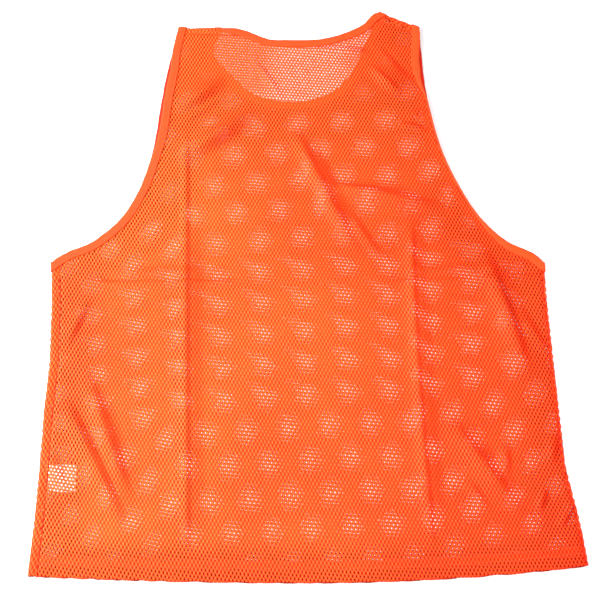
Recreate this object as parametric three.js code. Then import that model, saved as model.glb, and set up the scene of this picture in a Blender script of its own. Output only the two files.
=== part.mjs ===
// Mesh training bib, laid flat with its front panel underneath and its back panel on top.
// Millimetres, +Z up. X runs across the bib and Y from the hem to the shoulders.
// "up" is the distance from the lowest point of the hem, and "depth" the distance into
// the flat bib from its outer skin, which is the underside in front and the top behind.

import * as THREE from 'three';

// Cloth, and how high its layers lie over the floor
const NET = 1.0; // net cloth
const TAPE = 1.6; // binding, folded round the raw edge and sewn flat
const GAP = 0.3; // between neighbouring pieces
const STACK = 3.1; // top of the back panel
const TAPE_STACK = 3.5; // top of the upper stretch of binding
const HEM_STACK = 4.9; // top of the hem, where four layers of net lie on each other

// Widths of what is folded and sewn
const BINDING_WIDTH = 10;
const HEM_DEPTH = 24; // allowance turned up inside
const HEM_EASE = 40; // the back panel comes down to STACK over this distance
const SEAM_IN = { left: 11, right: 4 }; // from the side fold to the side seam, on top
const CORNER_DROP = 12; // binding width along the side fold, at the underarm

// The hem's corners lie higher than its middle
const HEM_LIFT = { left: 7, right: 18 };
const HEM_HALF = 303;
const HEM_LIFT_FADE = 160;

// Underarm, where the side folds end and the armholes begin
const UNDERARM = 372;

// Side folds, from the hem up
const SIDES = [
  { up: 0, left: -303, right: 303 },
  { up: 60, left: -301, right: 297 },
  { up: 126, left: -300, right: 287 },
  { up: 190, left: -300, right: 285 },
  { up: 250, left: -298, right: 283 },
  { up: 320, left: -301, right: 281 },
  { up: UNDERARM, left: -305, right: 281 },
];

// Outer edge of the armhole bindings, from the underarm to the shoulder fold
const ARMHOLES = [
  { up: UNDERARM, left: -305, right: 281 },
  { up: 385, left: -285, right: 265 },
  { up: 400, left: -254, right: 236 },
  { up: 432, left: -222, right: 206 },
  { up: 479, left: -200, right: 181 },
  { up: 529, left: -189, right: 163 },
  { up: 596, left: -182, right: 150 },
  { up: 648, left: -174, right: 146 },
  { up: 698, left: -165, right: 144 },
];

// Outer edge of the neck binding, from the left shoulder fold to the right one
const NECK_BACK = [
  { x: -109, up: 697 },
  { x: -86, up: 694 },
  { x: -55, up: 681 },
  { x: -40, up: 678 },
  { x: 6, up: 678 },
  { x: 37, up: 684 },
  { x: 68, up: 698 },
  { x: 84, up: 715 },
  { x: 93, up: 721 },
];
const NECK_FRONT = [
  { x: -109, up: 697 },
  { x: -119, up: 660 },
  { x: -101, up: 633 },
  { x: -73, up: 604 },
  { x: -44, up: 592 },
  { x: -15, up: 589 },
  { x: 12, up: 594 },
  { x: 39, up: 609 },
  { x: 60, up: 639 },
  { x: 74, up: 673 },
  { x: 93, up: 721 },
];

// How each panel is laid out: armhole and neck places are counted in rows of the tables
// above. "neckBottom" is the level stretch of the neck, and the straps rise from its ends
// to "strapEnd", which is the shoulder seam behind and the shoulder fold in front. The
// back panel has more cells across, for its folds.
const BACK = {
  neck: NECK_BACK,
  armAtNeck: 7.35,
  chestRows: 12,
  neckBottom: [3, 4],
  strapRows: 3,
  strapEnd: { arm: 7.76, neckLeft: 1, neckRight: 7 },
  strapCells: 16,
};
const FRONT = {
  neck: NECK_FRONT,
  armAtNeck: 5.8,
  chestRows: 10,
  neckBottom: [4.5, 5.5],
  strapRows: 9,
  strapEnd: { arm: 8, neckLeft: 0, neckRight: 10 },
  strapCells: 9,
};

// Steps of the grids
const NECK_CELLS = 3; // across the level bottom of the neck
const TURN_STEPS = 4; // round a fold of the cloth
const SKIRT_UPS = [12, 25, 45, 66, 98, 132, 166, 200, 236, 272, 306, 334];

// Largest folds of the back panel: soft ridges from one place to another
const FOLDS = [
  { x1: -151, up1: 555, x2: -132, up2: 25, rise: 2.5, half: 24 }, // left storage crease
  { x1: 118, up1: 520, x2: 135, up2: 41, rise: 3, half: 20 }, // right storage crease
  { x1: -257, up1: 353, x2: -74, up2: 353, rise: 2, half: 18 }, // cross crease, left
  { x1: 91, up1: 353, x2: 272, up2: 362, rise: 2, half: 18 }, // cross crease, right
  { x1: -19, up1: 555, x2: 60, up2: 381, rise: 3.5, half: 22 },
  { x1: 15, up1: 473, x2: 166, up2: 442, rise: 3, half: 20 },
  { x1: -175, up1: 507, x2: -62, up2: 579, rise: 4, half: 28 },
  { x1: -171, up1: 576, x2: -100, up2: 626, rise: 3, half: 22 },
  { x1: 77, up1: 645, x2: 128, up2: 604, rise: 3, half: 20 },
  { x1: 214, up1: 403, x2: 262, up2: 221, rise: 6, half: 24 }, // deepest, under the arm
  { x1: -282, up1: 209, x2: -200, up2: 52, rise: 4, half: 20 },
  { x1: -259, up1: 245, x2: -195, up2: 74, rise: 3, half: 20 },
  { x1: 149, up1: 192, x2: 236, up2: 63, rise: 3, half: 24 },
];

// Care label, sewn in the left side seam and lying between the layers
const LABEL = { width: 31, length: 32, thick: 0.5, fromSeam: 1, up: 113 };

// Finishes
const ORANGE_NET = { color: 0xff6a3c, roughness: 0.75, metalness: 0 };
const ORANGE_TAPE = { color: 0xff7a44, roughness: 0.7, metalness: 0 };
const WHITE_TAPE = { color: 0xf6f2ee, roughness: 0.6, metalness: 0 };

const { lerp, smoothstep } = THREE.MathUtils;
const plan = (x, up) => new THREE.Vector2(x, up);

// Smooth curve through the rows of a table. A place on it is counted in rows.
class TableCurve {
  constructor(points) {
    this.curve = new THREE.SplineCurve(points);
    this.steps = points.length - 1;
  }

  at(row) {
    return this.curve.getPoint(row / this.steps);
  }

  tangent(row) {
    return this.curve.getTangent(THREE.MathUtils.clamp(row / this.steps, 0.001, 0.999));
  }
}

const ARM_CURVES = {
  left: new TableCurve(ARMHOLES.map((row) => plan(row.left, row.up))),
  right: new TableCurve(ARMHOLES.map((row) => plan(row.right, row.up))),
};
const INWARD = { left: plan(1, 0), right: plan(-1, 0), shoulder: plan(0, -1) };

// X of a side fold at a height, in straight stretches between the table's rows.
function sideX(side, up) {
  const next = Math.max(1, SIDES.findIndex((row) => row.up >= up));
  const [low, high] = [SIDES[next - 1], SIDES[next]];
  return lerp(low[side], high[side], (up - low.up) / (high.up - low.up));
}

// Rise of the folds over the flat cloth: a cosine hump across each one, sunk to nothing
// at its ends.
function foldRise(x, up) {
  let rise = 0;
  for (const fold of FOLDS) {
    const start = plan(fold.x1, fold.up1);
    const along = plan(fold.x2, fold.up2).sub(start);
    const length = along.length();
    along.normalize();
    const from = plan(x, up).sub(start);
    const run = from.dot(along);
    const off = Math.abs(from.cross(along));
    if (off >= fold.half || run <= 0 || run >= length) continue;
    const across = 0.5 + 0.5 * Math.cos((Math.PI * off) / fold.half);
    const fade = Math.min(length / 2, 2 * fold.half);
    rise += fold.rise * across * smoothstep(Math.min(run, length - run), 0, fade);
  }
  return rise;
}

// Height of the bib's upper skin, for a piece whose flat stack is that high.
function topOf(x, up, stack) {
  const hem = 1 - smoothstep(up, HEM_DEPTH + 2, HEM_DEPTH + HEM_EASE);
  return stack + (HEM_STACK - STACK) * hem + foldRise(x, up);
}

// Space position of a place on the cloth, with the hem's corners lifted.
function place(x, up, z) {
  const lift = x < 0 ? HEM_LIFT.left : HEM_LIFT.right;
  const rise = lift * (x / HEM_HALF) ** 2 * (1 - smoothstep(up, 0, HEM_LIFT_FADE));
  return new THREE.Vector3(x, up + rise, z);
}

// Place on a fold that joins the front to the back: a half circle from the floor
// (angle 0) over the outermost edge to the top (angle PI).
function turned(edge, inward, angle, depth, stack) {
  const middle = topOf(edge.x, edge.y, stack) / 2;
  const radius = middle - depth;
  const hinge = topOf(edge.x, edge.y, STACK) / 2;
  const point = edge.clone().addScaledVector(inward, hinge - radius * Math.sin(angle));
  return place(point.x, point.y, middle - radius * Math.cos(angle));
}

// Flat place of the front (low) or the back (high) layer.
function layered(isBack, point, depth, stack) {
  const z = isBack ? topOf(point.x, point.y, stack) - depth : depth;
  return place(point.x, point.y, z);
}

// Mesh of a closed body. Its faces are turned round if they point inwards.
function bodyMesh(name, finish, vertices, triangles) {
  let volume = 0;
  for (const [a, b, c] of triangles) {
    volume += vertices[a].dot(vertices[b].clone().cross(vertices[c]));
  }
  const outward = volume > 0 ? triangles : triangles.map(([a, b, c]) => [a, c, b]);
  const geometry = new THREE.BufferGeometry().setFromPoints(vertices);
  geometry.setIndex(outward.flat());
  geometry.computeVertexNormals();
  const mesh = new THREE.Mesh(geometry, new THREE.MeshStandardMaterial(finish));
  mesh.name = name;
  return mesh;
}

const quad = (a, b, c, d) => [[a, b, c], [a, c, d]];

// Wall of cloth on a grid of cells: an outer skin (0), an inner skin (1), and a rim
// wherever a cell has no neighbour.
function clothWall(name, finish, columns, rows, hasCell, skinPoint) {
  const vertices = [];
  const numbers = new Map();
  const vertex = (i, j, skin) => {
    const key = `${i} ${j} ${skin}`;
    if (!numbers.has(key)) {
      numbers.set(key, vertices.length);
      vertices.push(skinPoint(i, j, skin));
    }
    return numbers.get(key);
  };
  const there = (i, j) => i >= 0 && j >= 0 && i < columns && j < rows && hasCell(i, j);
  const triangles = [];
  for (let j = 0; j < rows; j += 1) {
    for (let i = 0; i < columns; i += 1) {
      if (!there(i, j)) continue;
      const corners = [[i, j], [i + 1, j], [i + 1, j + 1], [i, j + 1]];
      const beyond = [[i, j - 1], [i + 1, j], [i, j + 1], [i - 1, j]];
      const outer = corners.map(([ci, cj]) => vertex(ci, cj, 0));
      const inner = corners.map(([ci, cj]) => vertex(ci, cj, 1));
      triangles.push([outer[0], outer[1], outer[2]], [outer[0], outer[2], outer[3]]);
      triangles.push([inner[0], inner[2], inner[1]], [inner[0], inner[3], inner[2]]);
      beyond.forEach(([bi, bj], k) => {
        if (there(bi, bj)) return;
        const next = (k + 1) % 4;
        triangles.push(...quad(outer[next], outer[k], inner[k], inner[next]));
      });
    }
  }
  return bodyMesh(name, finish, vertices, triangles);
}

// Closed ring of tape: four corners a section, joined to the next section all round.
function tapeRing(name, sections) {
  const vertices = sections.flat();
  const triangles = [];
  sections.forEach((section, k) => {
    const here = 4 * k;
    const next = 4 * ((k + 1) % sections.length);
    for (let c = 0; c < 4; c += 1) {
      const d = (c + 1) % 4;
      triangles.push(...quad(here + c, here + d, next + d, next + c));
    }
  });
  return bodyMesh(name, ORANGE_TAPE, vertices, triangles);
}

// Station on an edge that is bound: "outer" is the binding's outer edge, and "inner" the
// panel's own edge. "panelHand" is 1 where the panel lies on the right of the curve's
// run, and -1 where it lies on the left.
function stationOn(curve, row, panelHand) {
  const outer = curve.at(row);
  const tangent = curve.tangent(row);
  const normal = plan(tangent.y, -tangent.x).multiplyScalar(panelHand);
  return { outer, inner: outer.clone().addScaledVector(normal, BINDING_WIDTH + GAP) };
}

// Stations at a shoulder fold, where both bindings are measured along the fold.
function foldStations(side) {
  const arm = ARM_CURVES[side].at(ARMHOLES.length - 1);
  const end = side === 'left' ? NECK_BACK[0] : NECK_BACK[NECK_BACK.length - 1];
  const neck = plan(end.x, end.up);
  const step = neck.clone().sub(arm).setLength(BINDING_WIDTH + GAP);
  return {
    arm: { outer: arm, inner: arm.clone().add(step) },
    neck: { outer: neck, inner: neck.clone().sub(step) },
  };
}

// Station where an armhole binding crosses the side fold.
function cornerStation(side) {
  const low = UNDERARM - CORNER_DROP - GAP;
  return {
    outer: plan(sideX(side, UNDERARM), UNDERARM),
    inner: plan(sideX(side, low), low),
  };
}

const SHOULDER = { left: foldStations('left'), right: foldStations('right') };
const CORNER = { left: cornerStation('left'), right: cornerStation('right') };

// Rows of stations of one panel above the underarm.
function panelRows(spec) {
  const neckCurve = new TableCurve(spec.neck.map((row) => plan(row.x, row.up)));
  const chest = [];
  for (let k = 1; k < spec.chestRows; k += 1) {
    const row = (spec.armAtNeck * k) / spec.chestRows;
    chest.push({
      left: stationOn(ARM_CURVES.left, row, 1),
      right: stationOn(ARM_CURVES.right, row, -1),
    });
  }
  const end = spec.strapEnd;
  const straps = [];
  for (let k = 0; k <= spec.strapRows; k += 1) {
    const share = k / spec.strapRows;
    const arm = lerp(spec.armAtNeck, end.arm, share);
    straps.push({
      armLeft: stationOn(ARM_CURVES.left, arm, 1),
      neckLeft: stationOn(neckCurve, lerp(spec.neckBottom[0], end.neckLeft, share), 1),
      neckRight: stationOn(neckCurve, lerp(spec.neckBottom[1], end.neckRight, share), 1),
      armRight: stationOn(ARM_CURVES.right, arm, -1),
    });
  }
  return { chest, straps };
}

const BACK_ROWS = panelRows(BACK);
const FRONT_ROWS = panelRows(FRONT);
FRONT_ROWS.straps.pop(); // the shoulder turns make the row at the fold itself

const FOLD_ROW = {
  armLeft: SHOULDER.left.arm,
  neckLeft: SHOULDER.left.neck,
  neckRight: SHOULDER.right.neck,
  armRight: SHOULDER.right.arm,
};
const SEAM_ROW = BACK_ROWS.straps[BACK.strapRows];

// Columns of a panel's grid: the straps' columns run on down to the hem, on each side of
// those that meet the level bottom of the neck.
const columnsOf = (spec) => 2 * spec.strapCells + NECK_CELLS;

// True where a column's cell lies in the neck opening, between the straps.
function inNeck(spec, i) {
  return i >= spec.strapCells && i < spec.strapCells + NECK_CELLS;
}

// Place of a column on a row of straps, or over the neck's level bottom.
function strapPoint(spec, row, i) {
  const fromNeckLeft = i - spec.strapCells;
  const fromNeckRight = fromNeckLeft - NECK_CELLS;
  let [from, to, share] = [row.armLeft, row.neckLeft, i / spec.strapCells];
  if (fromNeckLeft > 0) {
    [from, to, share] = [row.neckLeft, row.neckRight, fromNeckLeft / NECK_CELLS];
  }
  if (fromNeckRight >= 0) {
    [from, to, share] = [row.neckRight, row.armRight, fromNeckRight / spec.strapCells];
  }
  return from.inner.clone().lerp(to.inner, share);
}

// Share of the width at which each column stands below the neck, where the columns run
// on from the straps' foot.
function columnShares(spec, foot) {
  const left = foot.armLeft.inner.x;
  const width = foot.armRight.inner.x - left;
  const shares = [];
  for (let i = 0; i <= columnsOf(spec); i += 1) {
    shares.push((strapPoint(spec, foot, i).x - left) / width);
  }
  return shares;
}

// Rows below the underarm, from the raw edge of the turned-up hem, round the hem's fold
// and up the wall. Each gives "up" and "depth" for the outer and the inner skin.
function skirtRows() {
  const fold = NET + GAP / 2;
  const rows = [];
  for (const up of [HEM_DEPTH, HEM_DEPTH / 2]) {
    rows.push([{ up, depth: 2 * NET + GAP }, { up, depth: NET + GAP }]);
  }
  for (let k = 0; k <= TURN_STEPS; k += 1) {
    const angle = Math.PI * (1 - k / TURN_STEPS);
    rows.push([fold, GAP / 2].map((radius) => ({
      up: fold - radius * Math.sin(angle),
      depth: fold - radius * Math.cos(angle),
    })));
  }
  for (const up of [...SKIRT_UPS, CORNER.left.inner.y]) {
    rows.push([{ up, depth: 0 }, { up, depth: NET }]);
  }
  return rows;
}

const SKIRT = skirtRows();
const UNDERARM_ROW = SKIRT.length - 1;

// Place of a side seam on the upper layer. At the underarm it lies on the panel's edge,
// which runs from the side fold to the first station of the armhole. "shift" parts the
// two panels.
function seamPoint(side, j, up, shift) {
  const edge = plan(sideX(side, up), up);
  const point = edge.clone().addScaledVector(INWARD[side], SEAM_IN[side] + shift);
  if (j === UNDERARM_ROW) {
    const hinge = topOf(edge.x, up, STACK) / 2;
    const next = BACK_ROWS.chest[0][side].inner;
    const share = (SEAM_IN[side] + shift - hinge) / (Math.abs(next.x - edge.x) - hinge);
    point.y = lerp(up, next.y, share);
  }
  return point;
}

// Skin depths of a wall above the hem's rows
const SKIN_DEPTHS = [0, NET];

function backPanel() {
  const columns = columnsOf(BACK);
  const shares = columnShares(BACK, BACK_ROWS.straps[0]);
  const neckRow = UNDERARM_ROW + BACK.chestRows;
  const rows = neckRow + BACK.strapRows;
  const skinPoint = (i, j, skin) => {
    if (j <= UNDERARM_ROW) {
      const { up, depth } = SKIRT[j][skin];
      const left = seamPoint('left', j, up, GAP / 2);
      const right = seamPoint('right', j, up, GAP / 2);
      return layered(true, left.lerp(right, shares[i]), depth, STACK);
    }
    if (j < neckRow) {
      const { left, right } = BACK_ROWS.chest[j - UNDERARM_ROW - 1];
      const point = left.inner.clone().lerp(right.inner, shares[i]);
      return layered(true, point, SKIN_DEPTHS[skin], STACK);
    }
    const point = strapPoint(BACK, BACK_ROWS.straps[j - neckRow], i);
    if (j === rows) point.y -= GAP / 2;
    return layered(true, point, SKIN_DEPTHS[skin], STACK);
  };
  const hasCell = (i, j) => j < neckRow || !inNeck(BACK, i);
  return clothWall('back_panel', ORANGE_NET, columns, rows, hasCell, skinPoint);
}

function frontPanel() {
  const columns = columnsOf(FRONT);
  const shares = columnShares(FRONT, FRONT_ROWS.straps[0]);
  const wrap = TURN_STEPS + 1; // columns round each side fold, out to the side seam
  const neckRow = UNDERARM_ROW + FRONT.chestRows;
  const turnRow = neckRow + FRONT.strapRows;
  const rows = turnRow + TURN_STEPS + 1; // the last row is the shoulder seam, on top

  const skirtPoint = (i, j, skin) => {
    const { up, depth } = SKIRT[j][skin];
    const fromLeft = i - wrap;
    const fromRight = fromLeft - columns;
    const edges = [plan(sideX('left', up), up), plan(sideX('right', up), up)];
    if (fromLeft === -wrap) {
      return layered(true, seamPoint('left', j, up, -GAP / 2), depth, STACK);
    }
    if (fromRight === wrap) {
      return layered(true, seamPoint('right', j, up, -GAP / 2), depth, STACK);
    }
    if (fromLeft < 0) {
      const angle = (-fromLeft * Math.PI) / TURN_STEPS;
      return turned(edges[0], INWARD.left, angle, depth, STACK);
    }
    if (fromRight > 0) {
      const angle = (fromRight * Math.PI) / TURN_STEPS;
      return turned(edges[1], INWARD.right, angle, depth, STACK);
    }
    const left = edges[0].x + topOf(edges[0].x, up, STACK) / 2;
    const right = edges[1].x - topOf(edges[1].x, up, STACK) / 2;
    return place(lerp(left, right, shares[fromLeft]), up, depth);
  };

  const skinPoint = (i, j, skin) => {
    if (j <= UNDERARM_ROW) return skirtPoint(i, j, skin);
    const depth = SKIN_DEPTHS[skin];
    const column = i - wrap;
    if (j < neckRow) {
      const { left, right } = FRONT_ROWS.chest[j - UNDERARM_ROW - 1];
      const point = left.inner.clone().lerp(right.inner, shares[column]);
      return layered(false, point, depth, STACK);
    }
    if (j < turnRow) {
      const point = strapPoint(FRONT, FRONT_ROWS.straps[j - neckRow], column);
      return layered(false, point, depth, STACK);
    }
    if (j < rows) {
      const angle = ((j - turnRow) * Math.PI) / TURN_STEPS;
      const edge = strapPoint(FRONT, FOLD_ROW, column);
      return turned(edge, INWARD.shoulder, angle, depth, STACK);
    }
    const point = strapPoint(FRONT, SEAM_ROW, column);
    point.y += GAP / 2;
    return layered(true, point, depth, STACK);
  };

  const hasCell = (i, j) => {
    if (j < UNDERARM_ROW) return true;
    const column = i - wrap;
    if (column < 0 || column >= columns) return false;
    return j < neckRow || !inNeck(FRONT, column);
  };
  const allColumns = columns + 2 * wrap;
  return clothWall('front_panel', ORANGE_NET, allColumns, rows, hasCell, skinPoint);
}

// Section of a binding: its inner and outer edges, on the outer and then the inner skin.
function tapeSection(station, at) {
  const inner = station.outer.clone().sub(station.inner).setLength(GAP).add(station.inner);
  const { outer } = station;
  return [at(inner, 0), at(outer, 0), at(outer, TAPE), at(inner, TAPE)];
}

const flatSections = (stations, isBack) => stations.map((station) => (
  tapeSection(station, (point, depth) => layered(isBack, point, depth, TAPE_STACK))));

// Sections round a fold, from the front layer to the back one.
function turnSections(station, inward) {
  const sections = [];
  for (let k = 0; k <= TURN_STEPS; k += 1) {
    const angle = (k * Math.PI) / TURN_STEPS;
    sections.push(tapeSection(station, (point, depth) => (
      turned(point, inward, angle, depth, TAPE_STACK))));
  }
  return sections;
}

function armholeBinding(side) {
  const arm = side === 'left' ? 'armLeft' : 'armRight';
  const stations = (rows) => [
    ...rows.chest.map((row) => row[side]),
    ...rows.straps.map((row) => row[arm]),
  ];
  return tapeRing(`armhole_binding_${side}`, [
    ...turnSections(CORNER[side], INWARD[side]),
    ...flatSections(stations(BACK_ROWS), true),
    ...turnSections(SHOULDER[side].arm, INWARD.shoulder).reverse(),
    ...flatSections(stations(FRONT_ROWS), false).reverse(),
  ]);
}

function neckBinding() {
  const stations = (rows) => [
    ...rows.straps.map((row) => row.neckLeft).reverse(),
    ...rows.straps.map((row) => row.neckRight),
  ];
  return tapeRing('neck_binding', [
    ...turnSections(SHOULDER.left.neck, INWARD.shoulder),
    ...flatSections(stations(BACK_ROWS), true),
    ...turnSections(SHOULDER.right.neck, INWARD.shoulder).reverse(),
    ...flatSections(stations(FRONT_ROWS), false).reverse(),
  ]);
}

function careLabel() {
  const geometry = new THREE.BoxGeometry(LABEL.width, LABEL.length, LABEL.thick);
  const mesh = new THREE.Mesh(geometry, new THREE.MeshStandardMaterial(WHITE_TAPE));
  mesh.name = 'care_label';
  const seam = sideX('left', LABEL.up) + SEAM_IN.left + LABEL.fromSeam;
  const x = seam + LABEL.width / 2;
  mesh.position.set(x, LABEL.up, NET + GAP + LABEL.thick / 2);
  return mesh;
}

// The bib, with its origin under the middle of its box
const bib = new THREE.Group();
bib.add(frontPanel(), backPanel(), neckBinding());
bib.add(armholeBinding('left'), armholeBinding('right'), careLabel());
const box = new THREE.Box3().setFromObject(bib);
const middle = box.getCenter(new THREE.Vector3());
bib.position.set(-middle.x, -middle.y, -box.min.z);

export default bib;
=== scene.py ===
# %% [markdown]
# # A mesh training bib, laid flat
#
# The bib is a sleeveless overtop of warp-knitted net. It lies on its front, so the back
# panel is on top. We see one net through the holes of another, and where the holes of both
# line up the pale table shines through in rows of light spots.
#
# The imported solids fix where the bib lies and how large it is. This lesson dresses them:
# each solid is replaced by cloth with real holes, folded tape, stitches and creases.

import bpy
import numpy as np
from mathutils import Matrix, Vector


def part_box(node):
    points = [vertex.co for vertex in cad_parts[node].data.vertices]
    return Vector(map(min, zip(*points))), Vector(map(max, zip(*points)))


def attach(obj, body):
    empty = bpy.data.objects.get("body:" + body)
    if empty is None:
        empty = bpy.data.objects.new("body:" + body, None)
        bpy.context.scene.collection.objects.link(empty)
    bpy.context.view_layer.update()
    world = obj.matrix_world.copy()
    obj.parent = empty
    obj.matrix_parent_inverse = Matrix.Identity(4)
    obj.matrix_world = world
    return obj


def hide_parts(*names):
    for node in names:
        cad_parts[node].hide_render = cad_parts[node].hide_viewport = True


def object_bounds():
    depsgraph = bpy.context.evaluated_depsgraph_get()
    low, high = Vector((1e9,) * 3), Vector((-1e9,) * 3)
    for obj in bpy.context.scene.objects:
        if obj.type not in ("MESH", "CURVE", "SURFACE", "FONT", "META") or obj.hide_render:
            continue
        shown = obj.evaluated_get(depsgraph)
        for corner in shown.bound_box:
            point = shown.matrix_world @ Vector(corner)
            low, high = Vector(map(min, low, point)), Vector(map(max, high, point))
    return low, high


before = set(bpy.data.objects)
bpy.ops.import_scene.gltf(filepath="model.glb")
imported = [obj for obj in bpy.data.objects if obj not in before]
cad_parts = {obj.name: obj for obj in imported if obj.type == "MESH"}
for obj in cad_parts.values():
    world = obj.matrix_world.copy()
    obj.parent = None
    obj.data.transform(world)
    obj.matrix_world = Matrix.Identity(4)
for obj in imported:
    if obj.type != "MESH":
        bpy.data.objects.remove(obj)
solid_box = [list(corner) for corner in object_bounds()]
print("solids:", sorted(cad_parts))
print("box of the solids, in metres:", np.round(solid_box, 4).tolist())

# %% [markdown]
# ## Where a place on the cloth lies
#
# A tailor measures from the hem, so the outline is kept in millimetres as "x", across, and
# "up", from the lowest point of the hem. The care label is a plain rectangle whose place on
# the cloth is known. Its box ties these cloth measures to the frame of the solids.

# %% Sizes of the cloth, in millimetres
HANDS = {"left": 1, "right": -1}  # which way is inwards from each side
NET = 1.0  # thickness of one net, as the solids have it
TAPE = 1.6  # height of the tape, folded round one panel's edge
STACK = 3.1  # height of both nets, with air between them
TAPE_STACK = 3.5
HEM_STACK = 4.9
BINDING_WIDTH = 10
HEM_DEPTH = 24  # how far the hem is turned up inside
HEM_EASE = 40
FOLD_RADIUS = 1.15
SEAM_IN = {"left": 11, "right": 4}  # from the side fold in to the side seam
CORNER_DROP = 12  # the armhole binding ends this far below the underarm
HEM_LIFT = {"left": 7, "right": 18}  # how much higher the hem's corners lie
HEM_HALF = 303
HEM_LIFT_FADE = 160
UNDERARM = 372
LABEL = {"width": 31, "length": 32, "from_seam": 1, "up": 113, "low": 1.3, "high": 1.8}

# %% Outline of the bib, in millimetres
SIDES = {
    "up": [0, 60, 126, 190, 250, 320, 372],
    "left": [-303, -301, -300, -300, -298, -301, -305],
    "right": [303, 297, 287, 285, 283, 281, 281],
}
ARMHOLES = {
    "up": [372, 385, 400, 432, 479, 529, 596, 648, 698],
    "left": [-305, -285, -254, -222, -200, -189, -182, -174, -165],
    "right": [281, 265, 236, 206, 181, 163, 150, 146, 144],
}
NECK_BACK = {
    "x": [-109, -86, -55, -40, 6, 37, 68, 84, 93],
    "up": [697, 694, 681, 678, 678, 684, 698, 715, 721],
}
NECK_FRONT = {
    "x": [-109, -119, -101, -73, -44, -15, 12, 39, 60, 74, 93],
    "up": [697, 660, 633, 604, 592, 589, 594, 609, 639, 673, 721],
}
SHOULDER_SEAM_ROW = {"arm": 7.76, "neck_left": 1, "neck_right": 7}
print("rows of sides, armholes, neck behind, neck in front:", *(
    len(table["up"]) for table in (SIDES, ARMHOLES, NECK_BACK, NECK_FRONT)))


# %% From cloth to frame
def side_x(side, up):
    """X of a side fold, in straight stretches between the table's heights."""
    return np.interp(up, SIDES["up"], SIDES[side])


label_low, label_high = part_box("care_label")
label_x = side_x("left", LABEL["up"]) + SEAM_IN["left"] + LABEL["from_seam"]
SHIFT = np.array([
    label_low.x * 1000 - label_x,
    (label_low.y + label_high.y) * 500 - LABEL["up"],
    label_low.z * 1000 - LABEL["low"],
])
TABLE = solid_box[0][2]
print("cloth to frame, in mm:", np.round(SHIFT, 2).tolist())

# %% [markdown]
# ## Curved edges
#
# Armholes and neck are smooth curves through a few measured places. A Catmull-Rom curve
# passes through every one of them, so the tables stay short. A place on it is counted in
# rows of the table, and the binding's inner edge is found square to the curve.

# %% Curves through the tables
def ease(value, low, high):
    """Smooth step: 0 below low, 1 above high, 3t^2 - 2t^3 between."""
    t = np.clip((value - low) / (high - low), 0, 1)
    return t * t * (3 - 2 * t)


def curve_points(points, row):
    """Catmull-Rom: between two rows, a cubic whose slopes are half the chord past each."""
    points = np.asarray(points, float)
    row = np.clip(np.asarray(row, float), 0, len(points) - 1)
    low = np.minimum(np.floor(row).astype(int), len(points) - 2)
    t = (row - low)[:, None]
    before, start = points[np.maximum(low - 1, 0)], points[low]
    end, after = points[low + 1], points[np.minimum(low + 2, len(points) - 1)]
    slope_in, slope_out = (end - before) / 2, (after - start) / 2
    cubic = 2 * start - 2 * end + slope_in + slope_out
    square = 3 * end - 3 * start - 2 * slope_in - slope_out
    return ((cubic * t + square) * t + slope_in) * t + start


def edge_stations(points, row, panel_hand, inset):
    """Points on a curve, and the same moved square to it by the inset, to the panel's side."""
    step = 0.002
    last = len(points) - 1
    row = np.asarray(row, float)
    ahead = curve_points(points, np.minimum(row + step, last))
    behind = curve_points(points, np.maximum(row - step, 0))
    run = ahead - behind
    run /= np.linalg.norm(run, axis=1, keepdims=True)
    normal = np.stack([run[:, 1], -run[:, 0]], axis=1) * panel_hand
    on_curve = curve_points(points, row)
    return on_curve, on_curve + normal * inset


def table_points(table, x):
    """One point for each row of a table: its x and its up."""
    return np.stack([table[x], table["up"]], axis=1)


ARM = {side: table_points(ARMHOLES, side) for side in HANDS}
NECK = {"back": table_points(NECK_BACK, "x"), "front": table_points(NECK_FRONT, "x")}
for side, points in ARM.items():
    dense = curve_points(points, np.linspace(0, len(points) - 1, 400))
    print("%s armhole: %.0f mm along the edge" % (
        side, np.linalg.norm(np.diff(dense, axis=0), axis=1).sum()))

# %% [markdown]
# ## Where the bindings have rolled or slipped
#
# The back lies on the front, but not exactly. High on both armholes the back's binding has
# slipped inwards, so the front's binding peeps out beside it. Along the right armhole the
# back's binding has also rolled under, and looks only a fifth as wide. It is drawn
# narrower there, not rolled, so that ring has less tape in it than was cut. Both are
# eased in and out along the armhole, counted in rows of its table.

# %% Rolled and slipped stretches
ROLLED = {"share": 0.2, "begins": (1.2, 3.6), "ends": (5.9, 7.0)}
SLIPPED = {
    "left": {"most": 3.6, "begins": (4.4, 5.4), "ends": (6.6, 7.4)},
    "right": {"most": 4.2, "begins": (5.8, 6.5), "ends": (6.9, 7.7)},
}


def roll_width(side, row):
    """Width of the back binding as drawn: narrower where the real one has rolled under."""
    if side == "left":
        return np.full(np.shape(row), float(BINDING_WIDTH))
    flat = np.maximum(ease(row, *ROLLED["ends"]), 1 - ease(row, *ROLLED["begins"]))
    return BINDING_WIDTH * (ROLLED["share"] + (1 - ROLLED["share"]) * flat)


def back_shift(side, row):
    """How far the back binding lies inside the front one: eased in, then out again."""
    slip = SLIPPED[side]
    return slip["most"] * ease(row, *slip["begins"]) * (1 - ease(row, *slip["ends"]))


middle_row = np.array([4.0])
print("right binding half-way up: %.1f mm wide" % roll_width("right", middle_row)[0])

# %% [markdown]
# ## Creases
#
# The bib has just been unpacked: it keeps the cross of storage creases, folds that run
# from the neck to the right armhole, and drag lines at both lower corners. Each is a soft
# ridge from one place to another, with a bow to one side, and a side that may be steeper.
# One could sculpt them or simulate the cloth. A table is exact, and each row can be set
# against the real thing. "half" is half a crease's width, and "steep" is the share of it
# that the right side of the run takes. A fall in place of a rise makes a valley.

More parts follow.
